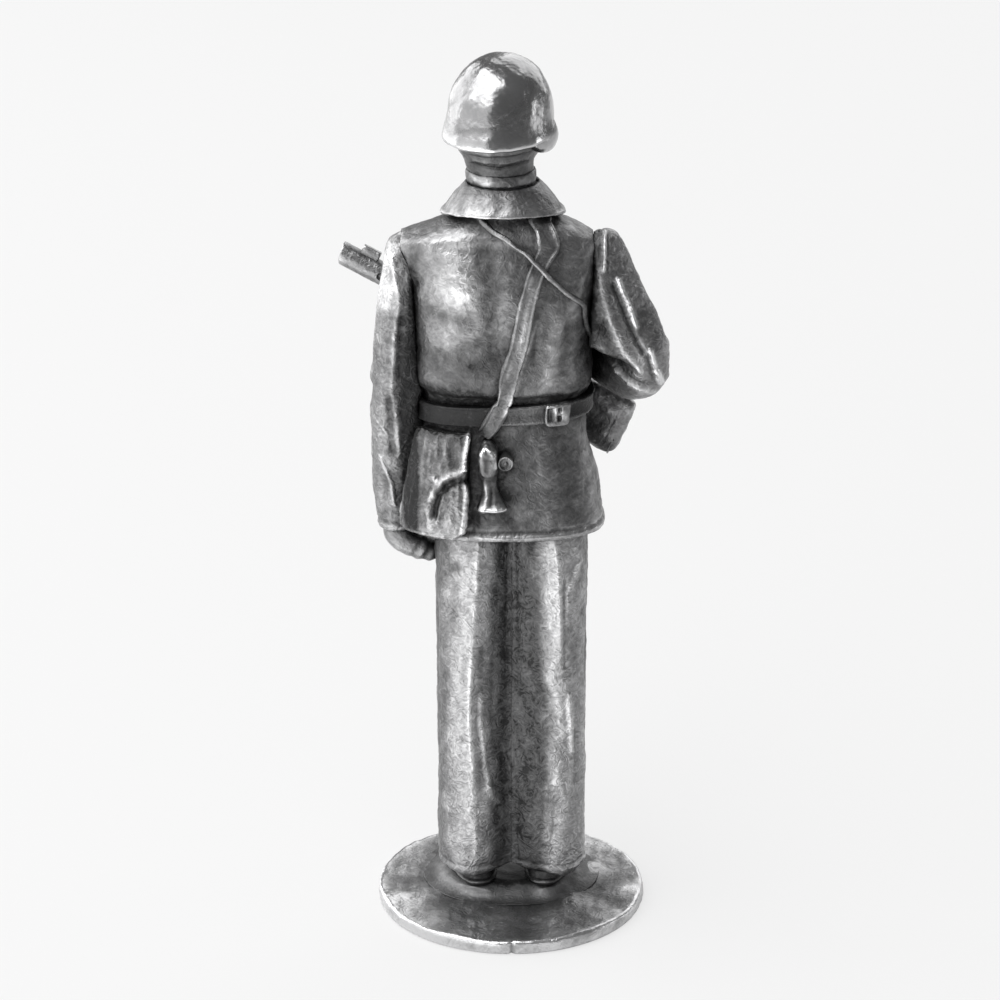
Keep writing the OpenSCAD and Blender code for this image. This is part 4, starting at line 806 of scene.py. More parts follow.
face_marks = mirrored([
    (0.15, 0.2, [0.35, 0.7, 1.0, 0.82, 1.7, 0.68]), (-0.34, 0.36, [1.05, 0.38]), (0.27, 0.22, [1.0, 0.36]),
    (0.05, 0.055, [0.62, 0.36, 0.8, 0.5, 1.05, 0.54, 1.35, 0.4]),
    (-0.05, 0.04, [0.64, 0.3, 1.0, 0.2, 1.36, 0.32]),
    (0.2, 0.13, [0.24, -0.4]), (0.14, 0.42, [1.55, -0.2]), (-0.05, 0.09, [0.42, -0.42, 0.72, -0.85]),
    (-0.05, 0.5, [1.5, -0.95])]) + [
    (0.3, 0.19, [0, 0.62, 0, 0.2, 0, -0.2]), (0.36, 0.2, [0, -0.28]),
    (-0.12, 0.1, [-0.14, -0.55, 0.14, -0.55]),
    (0.09, 0.08, [-0.42, -0.86, -0.14, -0.79, 0, -0.82, 0.14, -0.79, 0.42, -0.86]),
    (-0.1, 0.045, [-0.5, -0.9, 0, -0.91, 0.5, -0.9]), (0.1, 0.1, [-0.3, -1.01, 0.3, -1.01]),
    (-0.07, 0.1, [-0.26, -1.2, 0.26, -1.2]), (0.14, 0.28, [0, -1.48])]
ear_marks = [(0.3, 0.3, [0.15, 0.45, 0.05, -0.1]),
             (0.12, 0.09, [-0.15, 0.4, 0.2, 0.75, 0.5, 0.4, 0.3, -0.1, 0.0, -0.35]),
             (-0.16, 0.1, [0.12, 0.4, 0.15, 0.0])]


def face_relief(p, n, u, v):
    """Brows, eyes, nose, lips and chin in front, and an ear on each side."""
    return (strokes(p, n, "front", face_marks) + strokes(p, n, "left", ear_marks)
            + strokes(p, n, "right", ear_marks))


jaw_rows = [
    [0, -1.5, -1.86, 1.3, 1.5, 2.2], [0, -1.56, -1.76, 2.05, 2.45, 2.2], [0, -1.29, -1.44, 3.19, 3.67, 2.2],
    [0, -0.82, -0.79, 4.33, 5.1, 2.2], [0, -0.34, 0, 5.07, 6.05, 2.2], [0, -0.1, 0.79, 5.47, 6.6, 2.2]]
skull_rows = [[0, 0, 5.15*s, 5.7*w, 6.8*w, 2.1] for s in (0.3, 0.5, 0.68, 0.82, 0.92, 0.98)
              for w in [(1 - s**dome_power)**(1/dome_power)]]
head_shell = shell(ovals(smooth(jaw_rows + skull_rows, 250), 260), face_relief, ends=0.1, skin=0.35)
neck_shell = shell(ovals(smooth(neck_rows, 90), 160), neck_relief, ends=0.04)
cast("head_cast", "head", skin_pewter, neck_shell, on_neck(head_shell))

# Helmet: a plain round shell with a small flare and a rolled rim, cast with hand-filed facets. The rim
# rises to the front, and a rounded lobe stands out over the right ear.
helmet_pewter = pewter("helmet_pewter", 0.6, 0.06, 0.1, 0.16, 0.01, 0.08)


def dome(width, depth, height, spread, count, n):
    """Rings from the rim to the top: at angle f the height is sin f and the width cos f, both to the power
    2/2.35. The rim is spread a little and rises to the front, and is drawn in where the lobe covers it."""
    f = np.radians(np.linspace(0, 89.4, count))
    s, w = np.sin(f)**(2/dome_power), np.cos(f)**(2/dome_power)
    rings = ovals(np.stack([0*s, 0*s, height*s, width*w, depth*w, 2.1 + 0*s], 1), n)
    turn = np.degrees(np.arctan2(rings[..., 1], rings[..., 0]))
    lobe = np.exp(-(((turn - 217 + 180) % 360 - 180)/25)**4)
    low = 1 - s[:, None]
    reach = 1 + 2*spread/width*bell(s[:, None], 0.16)*(1 - lobe) - 0.05*lobe*low
    rings[..., :2] *= reach[..., None]
    rings[..., 2] += low*(0.28 + rim_rise*(0.5 - rings[..., 1]/depth))
    return rings


def helmet_relief(p, n, u, v):
    """Filed facets and the rolled rim."""
    over = p[..., 2] - 0.33 - rim_rise*(0.5 - p[..., 1]/8)
    shown = clamp((v - 0.415)/0.03)
    rim = 0.035*bell(over - 0.08, 0.12)
    facets = 0.08*(np.abs(lumps(p, 5.2, 71)) - 0.5)
    return shown*(rim + facets)


helmet_inner = dome(6.2, 7.4, 5.25, 0.2, 90, 240)[::-1]
helmet_outer = dome(6.8, 8.0, 5.6, 0.22, 130, 240)
helmet_edge = (helmet_inner[-1] + helmet_outer[0])/2 - [0, 0, 0.1]
helmet_rings = np.concatenate([helmet_inner, helmet_edge[None], helmet_outer])
lobe_f = np.radians(np.linspace(-86, 86, 60))
lobe_s, lobe_c, level = np.sin(lobe_f), np.cos(lobe_f), 0*lobe_f
lobe_rings = ovals(np.stack([-2.7 + 0.3*lobe_s, -0.2 + level, 0.76 + 1.3*lobe_s, 1.85*lobe_c, 3.4*lobe_c,
                             2.2 + level], 1), 96)
cast("helmet_cast", "helmet", helmet_pewter, on_neck(shell(helmet_rings, helmet_relief, skin=0.5)),
     on_neck(shell(lobe_rings, skin=0.5)))

# Left sleeve: the arm hangs straight down beside the skirt. It is cast apart, with a flat seat against the
# jacket, and its long folds run from the shoulder to the cuff.
sleeve_share = [
    [0.0, 0.1, 0.16, 0.2], [0.012, 0.13, 0.4, 0.5], [0.035, 0.15, 0.66, 0.8], [0.09, 0.19, 0.84, 0.97],
    [0.21, 0.28, 0.88, 0.98], [0.38, 0.34, 0.97, 0.97], [0.55, 0.36, 1, 0.97], [0.72, 0.35, 0.95, 0.9],
    [0.89, 0.35, 0.88, 0.84]]
sleeve_top, sleeve_length, sleeve_width, sleeve_depth = 47.906, 20.5, 2.9, 3.6
left_rows = []
for down, out, wide, deep in sleeve_share:
    z = sleeve_top - sleeve_length*down
    middle_x = left_arm_x(z) + sleeve_width*out + 0.25*clamp((z - 45.5)/2.0)
    left_rows.append([middle_x, -0.792*down**2, z, sleeve_width*wide, sleeve_depth*deep, 2.3])
left_rows.append([7.768, -0.792, 27.406, 2.3, 2.852, 2.2])
left_rings = ovals(smooth(left_rows[::-1], 250), 168)
left_rings[..., 0] = np.maximum(left_rings[..., 0], left_seat(left_rings[..., 2]))
left_rings = webbed(left_rings, 1, 27.5, 47.0)


def left_sleeve_relief(p, n, u, v):
    """Long folds down the back of the arm, creases at the elbow and the hem of the cuff."""
    back = [
        (0.14, 0.2, [7.76, 46.6, 7.3, 43.8, 7.65, 41.3]), (0.12, 0.2, [7.65, 41.3, 7.85, 37.5, 7.6, 36.0]),
        (-0.12, 0.2, [7.2, 42.6, 7.35, 38.6]), (0.12, 0.18, [7.6, 36.0, 7.44, 33.0]),
        (-0.12, 0.22, [8.1, 37.0, 7.9, 33.2]), (0.12, 0.18, [8.7, 32.8, 8.0, 30.9, 7.8, 29.3]),
        (0.1, 0.3, [8.5, 45.0, 8.7, 41.0]), (-0.1, 0.25, [8.4, 31.2, 8.5, 28.6]),
        (0.07, 0.12, [9.0, 35.5, 8.3, 34.6])]
    outer = [
        (0.08, 0.35, [0.9, 45, 0.4, 41, -0.2, 38]), (-0.06, 0.3, [0.3, 39.4, -1.2, 38.2]),
        (0.06, 0.3, [0.6, 38.6, -1.2, 37.4]), (-0.05, 0.3, [0.4, 37.6, -1.3, 36.4]),
        (0.1, 0.3, [-0.3, 36, -0.4, 30]), (-0.08, 0.25, [-1.0, 35, -1.1, 30])]
    cuff = 0.06*bell(p[..., 2] - 27.62, 0.14) - 0.06*bell(p[..., 2] - 28.0, 0.1)
    return cuff + strokes(p, n, "back", back) + strokes(p, n, "left", outer) + strokes(p, n, "front", outer)


cast("left_sleeve_cast", "left_sleeve", cloth_pewter, shell(left_rings, left_sleeve_relief, ends=0.08))

# Right sleeve: the arm is bent at the elbow and reaches forward to the gun. The cloth is drawn into sharp
# creases on the outside of the arm and round the elbow, with painted highlights along them.


def path_rings(rows, v, n, p):
    """Superellipses square to a path of rows [x, y, z, width, depth], the width lying across v."""
    rows = np.asarray(rows, float)
    t = unit(np.gradient(rows[:, :3], axis=0))
    s = unit(np.cross(v, t))
    w = np.cross(t, s)
    a = np.linspace(0, 2*np.pi, n, endpoint=False)[None, :, None]
    return (rows[:, None, :3] + rows[:, None, 3:4]/2*bulge(np.cos(a), p)*s[:, None]
            + rows[:, None, 4:5]/2*bulge(np.sin(a), p)*w[:, None])


arm_width = 3.7
shoulder = np.array([-5.855, 0, 47.204])
elbow = shoulder + 8.8*np.array([-0.36, 0.05, -1])
forearm = unit(np.array([0.68, -0.72, 0.07]))
wrist = elbow + 7.6*forearm
upper_arm = unit(elbow - shoulder)
bend = np.arccos(upper_arm @ forearm)
bend_radius = 2.072
bend_cut = bend_radius*np.tan(bend/2)
arc_start, arc_end = elbow - bend_cut*upper_arm, elbow + bend_cut*forearm
inward = unit(forearm - (forearm @ upper_arm)*upper_arm)
upper_share = [
    [-0.13, 0.12, 0.16], [-0.11, 0.28, 0.4], [-0.07, 0.46, 0.62], [0, 0.56, 0.74], [0.15, 0.62, 0.82],
    [0.45, 0.7, 0.88], [0.8, 0.84, 0.94]]
lower_share = [[0.35, 0.92, 0.84], [0.7, 0.8, 0.76], [1, 0.7, 0.7]]
right_rows = [[*(shoulder + s*(arc_start - shoulder)), arm_width*w, arm_width*d] for s, w, d in upper_share]
for k, (f, push) in enumerate(zip(np.linspace(0, bend, 5), (0.06, 0.26, 0.44, 0.44, 0.2))):
    centre = arc_start + bend_radius*(np.sin(f)*upper_arm + (1 - np.cos(f))*inward)
    centre = centre - push*(np.cos(f)*inward - np.sin(f)*upper_arm)
    right_rows.append([*centre, 3.5 + 2*push, arm_width*(0.94 - 0.015*k)])
right_rows += [[*(arc_end + s*(wrist - arc_end)), arm_width*w, arm_width*d] for s, w, d in lower_share]
right_rings = path_rings(smooth(right_rows, 260), unit(np.cross(upper_arm, forearm)), 168, 2.2)
right_x, _, right_z = axes(right_rings)
right_x[:] = np.where(right_z > armpit_z, np.minimum(right_x, right_seat_x), right_x)
right_rings = webbed(right_rings, -1, 39.5, 47.6)


def right_sleeve_relief(p, n, u, v):
    """Raised creases outside, the inner ridge, the rolled fold under the elbow and the cuff."""
    back = [
        (0.24, 0.17, [-6.9, 45.1, -7.25, 44.2, -7.6, 43.5]), (0.2, 0.15, [-7.7, 43.3, -8.1, 42.1]),
        (-0.16, 0.16, [-6.6, 44.8, -7.2, 43.4, -7.8, 41.9, -8.6, 40.4]),
        (0.2, 0.17, [-9.04, 40.6, -9.35, 39.4]), (0.24, 0.2, [-9.5, 39.0, -9.8, 38.1]),
        (0.16, 0.3, [-5.7, 45.7, -5.9, 44.4, -6.5, 42.4, -7.2, 40.7, -8.4, 39.1]),
        (-0.14, 0.4, [-5.9, 42.2, -6.5, 40.4, -7.3, 39.0]), (-0.1, 0.16, [-8.9, 40.2, -9.3, 38.6]),
        (0.16, 0.24, [-6.9, 38.7, -7.8, 37.9, -9.2, 37.5]), (0.1, 0.16, [-6.4, 39.3, -6.9, 38.7]),
        (-0.1, 0.14, [-7.4, 38.6, -8.8, 38.0]), (0.16, 0.13, [-6.03, 48.2, -6.0, 45.8]),
        (-0.08, 0.16, [-6.25, 47.8, -6.25, 45.8])]
    outer = [(0.12, 0.25, [0.6, 44, -0.4, 41.5]), (-0.05, 0.3, [0.9, 41.6, -0.8, 40.4]),
             (0.07, 0.3, [1.0, 40.8, -1.0, 39.4]), (-0.12, 0.2, [0.6, 39.4, -1.6, 38.6]),
             (0.14, 0.25, [0.2, 38.2, -2.4, 38.2])]
    front = [(0.12, 0.3, [-8.6, 41.5, -7.2, 39.6]), (-0.1, 0.2, [-7.9, 41.9, -6.6, 40.2])]
    end = np.linalg.norm(p - wrist, axis=-1) - 1.25
    near = (p - wrist) @ forearm
    cuff = 0.07*bell(near + 0.2, 0.14) - 0.07*bell(near + 0.6, 0.1)
    return (cuff*(end < 1.5) + strokes(p, n, "back", back) + strokes(p, n, "right", outer)
            + strokes(p, n, "front", front))


cast("right_sleeve_cast", "right_sleeve", cloth_pewter, shell(right_rings, right_sleeve_relief, ends=0.08))

# Hands: the left one hangs half closed under its cuff, the right one lies over the stock of the gun. The
# fingers are parted by cut grooves, and each hand is pinned to its sleeve.


def fingers(first, last, grooves, depth):
    """Grooves that part the fingers: they run along the hand beyond the knuckles, at shares of the turn."""
    def relief(p, n, u, v):
        """Grooves at fixed turns round the hand from the knuckles on, and low knuckles over the fingers."""
        along = clamp((v - first)/0.12)*clamp((last - v)/0.05 + 1)
        cut = sum(bell(np.abs(u - g + 0.5) % 1 - 0.5, 0.014) for g in grooves)
        knuckles = 0.04*np.sin(2*np.pi*v*5)*along
        return -depth*cut*along + knuckles
    return relief


left_hand_rows = [
    [7.77, -0.79, 27.36, 1.5, 1.6], [7.74, -0.8, 26.95, 1.8, 1.9], [7.4, -0.95, 26.4, 1.9, 2.1],
    [6.7, -1.1, 25.92, 1.85, 2.2], [6.0, -1.2, 25.6, 1.75, 2.1], [5.4, -1.25, 25.33, 1.5, 1.9],
    [4.95, -1.25, 25.15, 1.0, 1.5]]
thumb_rows = [[7.3, -1.5, 26.9, 0.5, 0.6], [7.1, -1.95, 26.3, 0.6, 0.66], [6.7, -2.2, 25.9, 0.55, 0.6],
              [6.3, -2.2, 25.7, 0.42, 0.46], [6.1, -2.15, 25.6, 0.2, 0.22]]
cast("left_hand_cast", "left_hand", skin_pewter,
     shell(path_rings(smooth(left_hand_rows, 110), [0, 1, 0], 128, 2.3),
           fingers(0.45, 1, (0.66, 0.75, 0.84), 0.12), ends=0.08, skin=0.6),
     shell(path_rings(smooth(thumb_rows, 50), [0, 1, 0], 56, 2), ends=0.05, skin=0.4))

# Gun: a plain short gun of no maker, held across the chest. Its frame runs from the butt to the muzzle,
# which rises to the left, and the sling ties it to the shoulder.
gun_anchor = np.array([0.6, -5.362, wrist[2] + 0.066])
gun_rise, gun_swing = np.radians(26), np.radians(10.5)
gun_cr, gun_sr = np.cos(gun_rise), np.sin(gun_rise)
gun_cs, gun_ss = np.cos(gun_swing), np.sin(gun_swing)
stock_width, butt_height, barrel_radius, hand_width = 1.3, 4.2, 0.775, 2.2
gun_axes = np.array([[gun_cr*gun_cs, -gun_cr*gun_ss, gun_sr], [gun_ss, gun_cs, 0],
                     [-gun_sr*gun_cs, gun_sr*gun_ss, gun_cr]])
gun_pewter = pewter("gun_pewter", 0.5, 0.25, 0.3, -0.15, 0.035)


def in_gun(made):
    """A shell that was made in the gun's frame, set in its place."""
    return made[0] @ gun_axes + gun_anchor, made[1], made[2]


def block(x0, x1, half_y, z0, z1, edge=0.05, p=6.0):
    """Rounded block in the gun's frame."""
    rows = [[x, 0, (z0 + z1)/2, 2*half_y, z1 - z0] for x in np.linspace(x0 + edge, x1 - edge, 24)]
    return in_gun(shell(path_rings(rows, [0, 0, 1], 56, p), ends=edge, skin=0.3))


right_hand_rows = [[*(wrist + 0.08*forearm), 1.3, 1.72], [*(wrist + 0.98*forearm), 1.32, 2.02]]
for k, (y, z) in enumerate(([-1.05, 0.45], [-1.12, -0.5], [-0.9, -1.2], [-0.35, -1.5], [0.25, -1.45])):
    held = np.array([-2.7, 1.3*y, 1.3*z]) @ gun_axes + gun_anchor
    right_hand_rows.append([*held, hand_width*(0.5 - 0.04*k), hand_width*(1 - 0.04*k)])
thumb_path = [[-2.2, -1.5, 0.45, 0.5, 0.6], [-1.6, -1.25, 0.68, 0.6, 0.6], [-1.05, -0.95, 0.76, 0.5, 0.5],
              [-0.7, -0.75, 0.74, 0.28, 0.28]]
cast("right_hand_cast", "right_hand", skin_pewter,
     shell(path_rings(smooth(right_hand_rows, 130), gun_axes[0], 128, 2.3),
           fingers(0.34, 1, (0.42, 0.5, 0.58), 0.14), ends=0.1, skin=0.6),
     in_gun(shell(path_rings(smooth(thumb_path, 50), [0, 0, 1], 56, 2), ends=0.06, skin=0.4)))

receiver_rows = [[x, 0, -0.065, stock_width, 1.43] for x in np.linspace(-1.45, 5.78, 120)]
muzzle_x = 12.4
barrel_profile = [
    [5.83, barrel_radius], [6.1, barrel_radius], [6.12, 0.7], [6.4, 0.7], [6.42, barrel_radius],
    [muzzle_x - 0.05, barrel_radius], [muzzle_x, 0.73], [muzzle_x, 0.4], [muzzle_x - 0.04, 0.33],
    [muzzle_x - 1.1, 0.33], [muzzle_x - 1.1, 0.03]]
barrel_rows = evenly(np.array([[x, 0, r] for x, r in barrel_profile]), 200)
barrel_t = np.linspace(0, 2*np.pi, 84, endpoint=False)
barrel_rings = np.stack([barrel_rows[:, :1] + 0*barrel_t, barrel_rows[:, 2:]*np.cos(barrel_t),
                         barrel_rows[:, 2:]*np.sin(barrel_t)], -1)
slant = np.tan(np.radians(12))*clamp((barrel_rings[..., 0] - 9.6)/2)
barrel_rings[..., 0] -= slant*(barrel_radius - barrel_rings[..., 2])


def receiver_relief(p, n, u, v):
    """Side slot for the bolt, a step at the front and pins."""
    x, z = p[..., 0], p[..., 2]
    side = clamp(np.abs(n[..., 1])*3 - 1)
    slot_cut = clamp((1.5 - np.abs(x - 2.6))/0.1)*clamp((0.14 - np.abs(z - 0.22))/0.06)
    pins = sum(bell(np.hypot(x - pin_x, z - pin_z), 0.11)
               for pin_x, pin_z in ((-0.9, -0.3), (0.9, -0.45), (4.9, -0.4)))
    ribs = 0.04*np.cos(2*np.pi*x/0.5)*clamp((x + 0.6)*(0.9 - x))
    return side*(-0.16*slot_cut + 0.06*pins + ribs) - 0.07*bell(x - 4.05, 0.06)


def barrel_relief(p, n, u, v):
    """Cooling holes in four rows along the jacket of the barrel, kept clear of the muzzle."""
    x, y, z = axes(p)
    quarter, pitch = np.pi/2, 1.05
    turn = np.arctan2(z, y)
    off_row = np.abs((turn + quarter/2) % quarter - quarter/2)
    along = (x - 7.0)/pitch
    hole = np.hypot((along - np.round(along))*pitch, barrel_radius*off_row)
    return -0.14*clamp((0.28 - hole)/0.08)*(x > 6.6)*(x < 9.6)


guard_t = np.radians(np.linspace(180, 360, 40))
guard_rows = [[0.2 + 0.75*np.cos(t), 0, -0.75 + 0.85*np.sin(t), 0.5, 0.2] for t in guard_t]
trigger_rows = [[0.1, 0, -0.7, 0.3, 0.22], [0.0, 0, -1.0, 0.26, 0.2], [0.12, 0, -1.28, 0.2, 0.14]]
handle_rows = [[2.2, -0.6, 0.15, 0.3, 0.3], [2.2, -0.95, 0.15, 0.28, 0.28], [2.2, -1.05, 0.15, 0.42, 0.42],
               [2.2, -1.2, 0.15, 0.4, 0.4]]
cast("gun_receiver_cast", "gun_receiver", gun_pewter,
     in_gun(shell(path_rings(receiver_rows, [0, 0, 1], 100, 3.6), receiver_relief, ends=0.06, skin=0.5)),
     in_gun(shell(barrel_rings, barrel_relief, skin=0.5)), block(4.2, 5.83, 0.55, -1.1, -0.4),
     block(9.8, 11.1, 0.3, 0.3, 1.32, 0.12, 3.0), block(4.45, 5.25, 0.35, 0.3, 1.05, 0.08),
     in_gun(shell(path_rings(guard_rows, [0, 1, 0], 28, 2.6), ends=0.04, skin=0.2)),
     in_gun(shell(path_rings(smooth(trigger_rows, 16), [0, 1, 0], 24, 2.2), ends=0.04, skin=0.1)),
     in_gun(shell(path_rings(smooth(handle_rows, 30), [0, 0, 1], 40, 2), ends=0.06, skin=0.2)))

# Gun stock: a carved stock in one piece, deep and square at the butt plate and slender behind the
# receiver, where the hand holds it.
stock_share = [
    [0, -0.4, 0.98, 0.86], [0.07, -0.4, 1.04, 1], [0.3, -0.3, 0.8, 1], [0.6, -0.17, 0.5, 0.92],
    [0.85, -0.06, 0.4, 0.88], [1, -0.05, 0.4, 0.98]]
butt_x, stock_end_x = -9.75, -1.8
stock_rows = [[butt_x + (stock_end_x - butt_x)*s, 0, butt_height*drop, stock_width*w, butt_height*h]
              for s, drop, h, w in stock_share]


def stock_relief(p, n, u, v):
    """Groove in front of the butt plate, two screws and shallow wear along the comb."""
    x, z = p[..., 0], p[..., 2]
    plate = -0.03*bell(x - butt_x - 0.5, 0.06)
    screws = sum(bell(np.hypot(x - sx, z - sz), 0.14) for sx, sz in ((-7.6, -1.3), (-3.6, -0.5)))
    return plate + 0.07*screws*clamp(np.abs(n[..., 1])*3 - 1) + 0.05*lumps(p*[0.5, 1, 1], 1.2, 81)


cast("gun_stock_cast", "gun_stock", gun_pewter,
     in_gun(shell(path_rings(smooth(stock_rows, 150), [0, 0, 1], 120, 2.8), stock_relief, ends=0.5)))

# Magazine: a curved box with pressed ribs, pushed up into its well under the receiver.
magazine_width = 1.3
magazine_rows = [[5.0196 + magazine_width*s, 0, -1.155 - 4.6*t, magazine_width, 0.78]
                 for t, s in ([0, 0], [0.35, 0.04], [0.7, 0.16], [1, 0.34])]


def magazine_relief(p, n, u, v):
    """Two ribs along each side, and a step round the foot."""
    ribs = np.cos(4*np.pi*(p[..., 0] - 5.0 - 0.02*(p[..., 2] + 1.1)**2)/magazine_width)
    side = clamp(np.abs(n[..., 1])*3 - 1.5)
    return 0.05*ribs*side*(p[..., 2] > -5.2) + 0.05*(p[..., 2] < -5.4)


cast("gun_magazine_cast", "gun_magazine", gun_pewter,
     in_gun(shell(path_rings(smooth(magazine_rows, 90), [0, 1, 0], 100, 5), magazine_relief,
                  ends=0.06, skin=0.5)))

# Gun sling: a narrow cast cord-like strap. It runs from under the collar across the back, over the wide
# strap, and comes over the left shoulder down to the gun.
sling_route = [
    [226, 0.08, 0.14], [219, 0.12, 0.1], [210, 0.17, 0.1], [197, 0.22, 0.1], [178, 0.28, 0.1],
    [164, 0.34, 0.1], [154, 0.41, 0.1], [150, 0.46, 0.1], [146.5, 0.52, 0.1], [130.5, 0.58, 0.1],
    [117, 0.65, 0.14], [111, 0.69, 0.4], [104.6, 0.735, 0.42], [99, 0.785, 0.4], [88, 0.86, 0.12],
    [58, 0.935, 0.1], [30, 0.955, 0.1], [0, 0.96, 0.1], [-30, 0.955, 0.1], [-54, 0.92, 0.1],
    [-60, 0.8, 0.1], [-62, 0.65, 0.1], [-62, 0.53, 0.4], [-62.5, 0.44, 1.1], [-63, 0.375, 2.2]]
cast("gun_sling_cast", "gun_sling", leather_pewter,
     shell(strap(sling_route, 0.32, 0.18, 560, 28, 0.0, 2.2), ends=0.04, skin=0.6))

# Antiquing of the whole figure: it is dipped in a black wash when it has been put together and then
# rubbed, so the wash stays in every hollow and between the pieces, and the ridges come out bright. On top
# of that come painted shade where pieces crowd each other and in pools at the back, painted highlights
# along strokes, and a painted highlight on the rim of the base.
cell, margin = 0.25, 3
all_rings = [rings for _, shells in castings for rings, _, _ in shells]
lowest = np.min([rings.min((0, 1)) for rings in all_rings], axis=0) - margin
highest = np.max([rings.max((0, 1)) for rings in all_rings], axis=0) + margin
filled = np.zeros(np.ceil((highest - lowest)/cell).astype(int), np.float32)
for rings in all_rings:
    middles = rings.mean(1, keepdims=True)
    steps = int(np.ceil(np.linalg.norm(rings - middles, axis=-1).max()/0.2)) + 1
    for share in np.linspace(0, 1, steps):
        at = ((middles + (rings - middles)*share - lowest)/cell).astype(int).reshape(-1, 3)
        filled[at[:, 0], at[:, 1], at[:, 2]] = 1


def blurred(grid, size):
    """Share of metal within about that distance: the grid blurred by a bell curve along each axis."""
    reach = int(np.ceil(3*size/cell))
    offsets = np.arange(-reach, reach + 1)
    weights = np.exp(-0.5*(offsets*cell/size)**2).astype(np.float32)
    for axis in range(3):
        grid = sum(w*np.roll(grid, k, axis) for w, k in zip(weights/weights.sum(), offsets))
    return grid


def sampled(grid, points):
    """Value of a grid at points in millimetres, mixed linearly from the eight cells round each."""
    at = np.clip((points - lowest)/cell - 0.5, 0, np.array(grid.shape) - 1.001)
    low = at.astype(int)
    f = at - low
    total = 0
    for corner in np.ndindex(2, 2, 2):
        share = np.prod(np.where(corner, f, 1 - f), axis=1)
        total = total + share*grid[tuple((low + corner).T)]
    return total


# The pools are painted shade at the back, where shadow falls under the blouse, between the legs, beside
# the arms, under the hems and on the neck, each given by its middle, its half sizes and its depth. The rubs
# are painted highlights along a route, and painted shade where negative.
close_metal, wide_metal = blurred(filled, 0.4), blurred(filled, 1.5)
painted_shade_pools = (
    (4.4, 36.6, 2.7, 1.45, 0.75), (3.4, 38.8, 3.2, 1.4, 0.15), (3.4, 39.7, 3.2, 2.4, 0.13),
    (-0.6, 14.0, 1.45, 15.0, 0.24), (1.5, 14.0, 1.1, 15.0, 0.12), (-1.0, 2.25, 4.6, 0.9, 0.16),
    (-3.0, 32.0, 3.0, 4.4, 0.06), (6.7, 35.5, 0.6, 8.5, 0.3), (6.6, 31.5, 0.5, 4.2, 0.3),
    (6.35, 45.0, 0.3, 2.5, 0.3), (1.3, 32.4, 1.3, 2.7, 0.15), (-4.9, 40.5, 0.8, 4.5, 0.2),
    (2.35, 30.8, 0.25, 2.6, 0.3), (-4.2, 14.0, 1.1, 14.0, 0.16), (-3.5, 46.0, 2.5, 2.5, 0.06),
    (3.9, 15.0, 1.6, 14.0, 0.08), (-6.5, 0.9, 2.4, 0.4, 0.1), (-4.6, 36.9, 1.0, 1.3, 0.3),
    (0.7, 52.8, 2.6, 1.0, 0.12))
painted_highlights_and_shade = (
    (0.25, 1.5, (3.9, 47.4, 3.5, 45.2)), (0.12, 0.6, (8.4, 36.0, 8.4, 29.5)),
    (0.12, 0.9, (7.0, 0.9, 5.0, 0.9)), (0.08, 0.7, (-2.5, 0.7, 2.0, 0.7)),
    (-0.07, 0.7, (-7.4, 0.7, -5.2, 0.7)),
    (0.05, 0.18, (3.2, 33.05, 3.68, 32.75, 4.39, 32.45, 4.8, 32.0, 5.05, 31.2)),
    (-0.14, 0.22, (2.7, 32.2, 3.2, 32.3, 3.68, 32.25, 4.28, 31.9, 4.69, 31.35, 4.9, 30.6, 5.0, 29.9)),
    (0.06, 1.2, (4.2, 42.4)), (0.08, 0.8, (-7.2, 46.5, -7.9, 43.0)), (0.2, 0.9, (8.1, 47.0, 8.2, 44.0)),
    (0.6, 0.16, (2.72, 35.7, 2.95, 34.6, 3.14, 33.2)),
    (0.16, 0.2, (3.0, 32.0, 3.05, 31.3, 3.15, 29.8, 3.15, 28.8)), (0.12, 0.6, (5.7, 30.2, 5.4, 28.6)),
    (0.3, 0.14, (5.3, 31.4, 5.42, 30.9)), (0.25, 0.16, (5.1, 32.4, 4.95, 32.2)), (-0.3, 0.42, (0.36, 33.1)),
    (0.35, 0.1, (-1.68, 49.1, -1.61, 47.7)), (0.35, 0.1, (-1.23, 45.9, -0.95, 43.8, -0.63, 41.7)),
    (0.25, 0.1, (-0.63, 41.7, 0.0, 40.2, 0.54, 39.0, 1.1, 37.2, 1.6, 35.7)),
    (0.3, 0.1, (-1.66, 43.0, -0.85, 40.4, -0.16, 37.9, 0.5, 36.6)), (0.5, 0.2, (-6.92, 45.0, -7.08, 44.6)),
    (0.5, 0.12, (-7.55, 43.6, -8.0, 42.3)), (0.5, 0.13, (-9.04, 40.5, -9.32, 39.5)),
    (0.5, 0.2, (-9.5, 39.0, -9.75, 38.2)), (0.35, 0.09, (-6.04, 48.2, -6.0, 45.9)),
    (0.4, 0.14, (2.0, 34.2, 1.7, 34.65, 1.3, 34.4, 1.05, 34.0, 1.0, 33.3)),
    (0.3, 0.13, (1.7, 32.0, 1.6, 31.3, 1.8, 30.7)), (0.2, 0.5, (8.0, 46.4, 8.1, 43.4)),
    (0.25, 0.1, (6.8, 28.5, 3.0, 28.3, -3.0, 28.3, -6.3, 28.7)),
    (0.12, 0.1, (2.23, 26.2, 2.39, 23.9, 2.78, 18.1, 2.86, 14.8, 2.6, 10.4, 2.42, 3.6)),
    (0.1, 0.16, (-3.72, 16.3, -3.9, 14.2, -4.0, 12.0)), (0.3, 0.12, (-4.43, 25.6, -3.9, 24.2)),
    (0.3, 0.12, (4.4, 49.45, 2.7, 49.8, 0.8, 49.75)), (0.3, 0.3, (2.5, 52.0, 1.5, 51.85)),
    (0.35, 0.22, (-2.35, 37.25, -2.9, 36.75, -3.5, 36.35)), (0.35, 0.25, (0.6, 30.55, 1.9, 30.5)),
    (0.2, 0.12, (1.98, 49.4, -1.16, 47.0, -4.5, 43.8)))
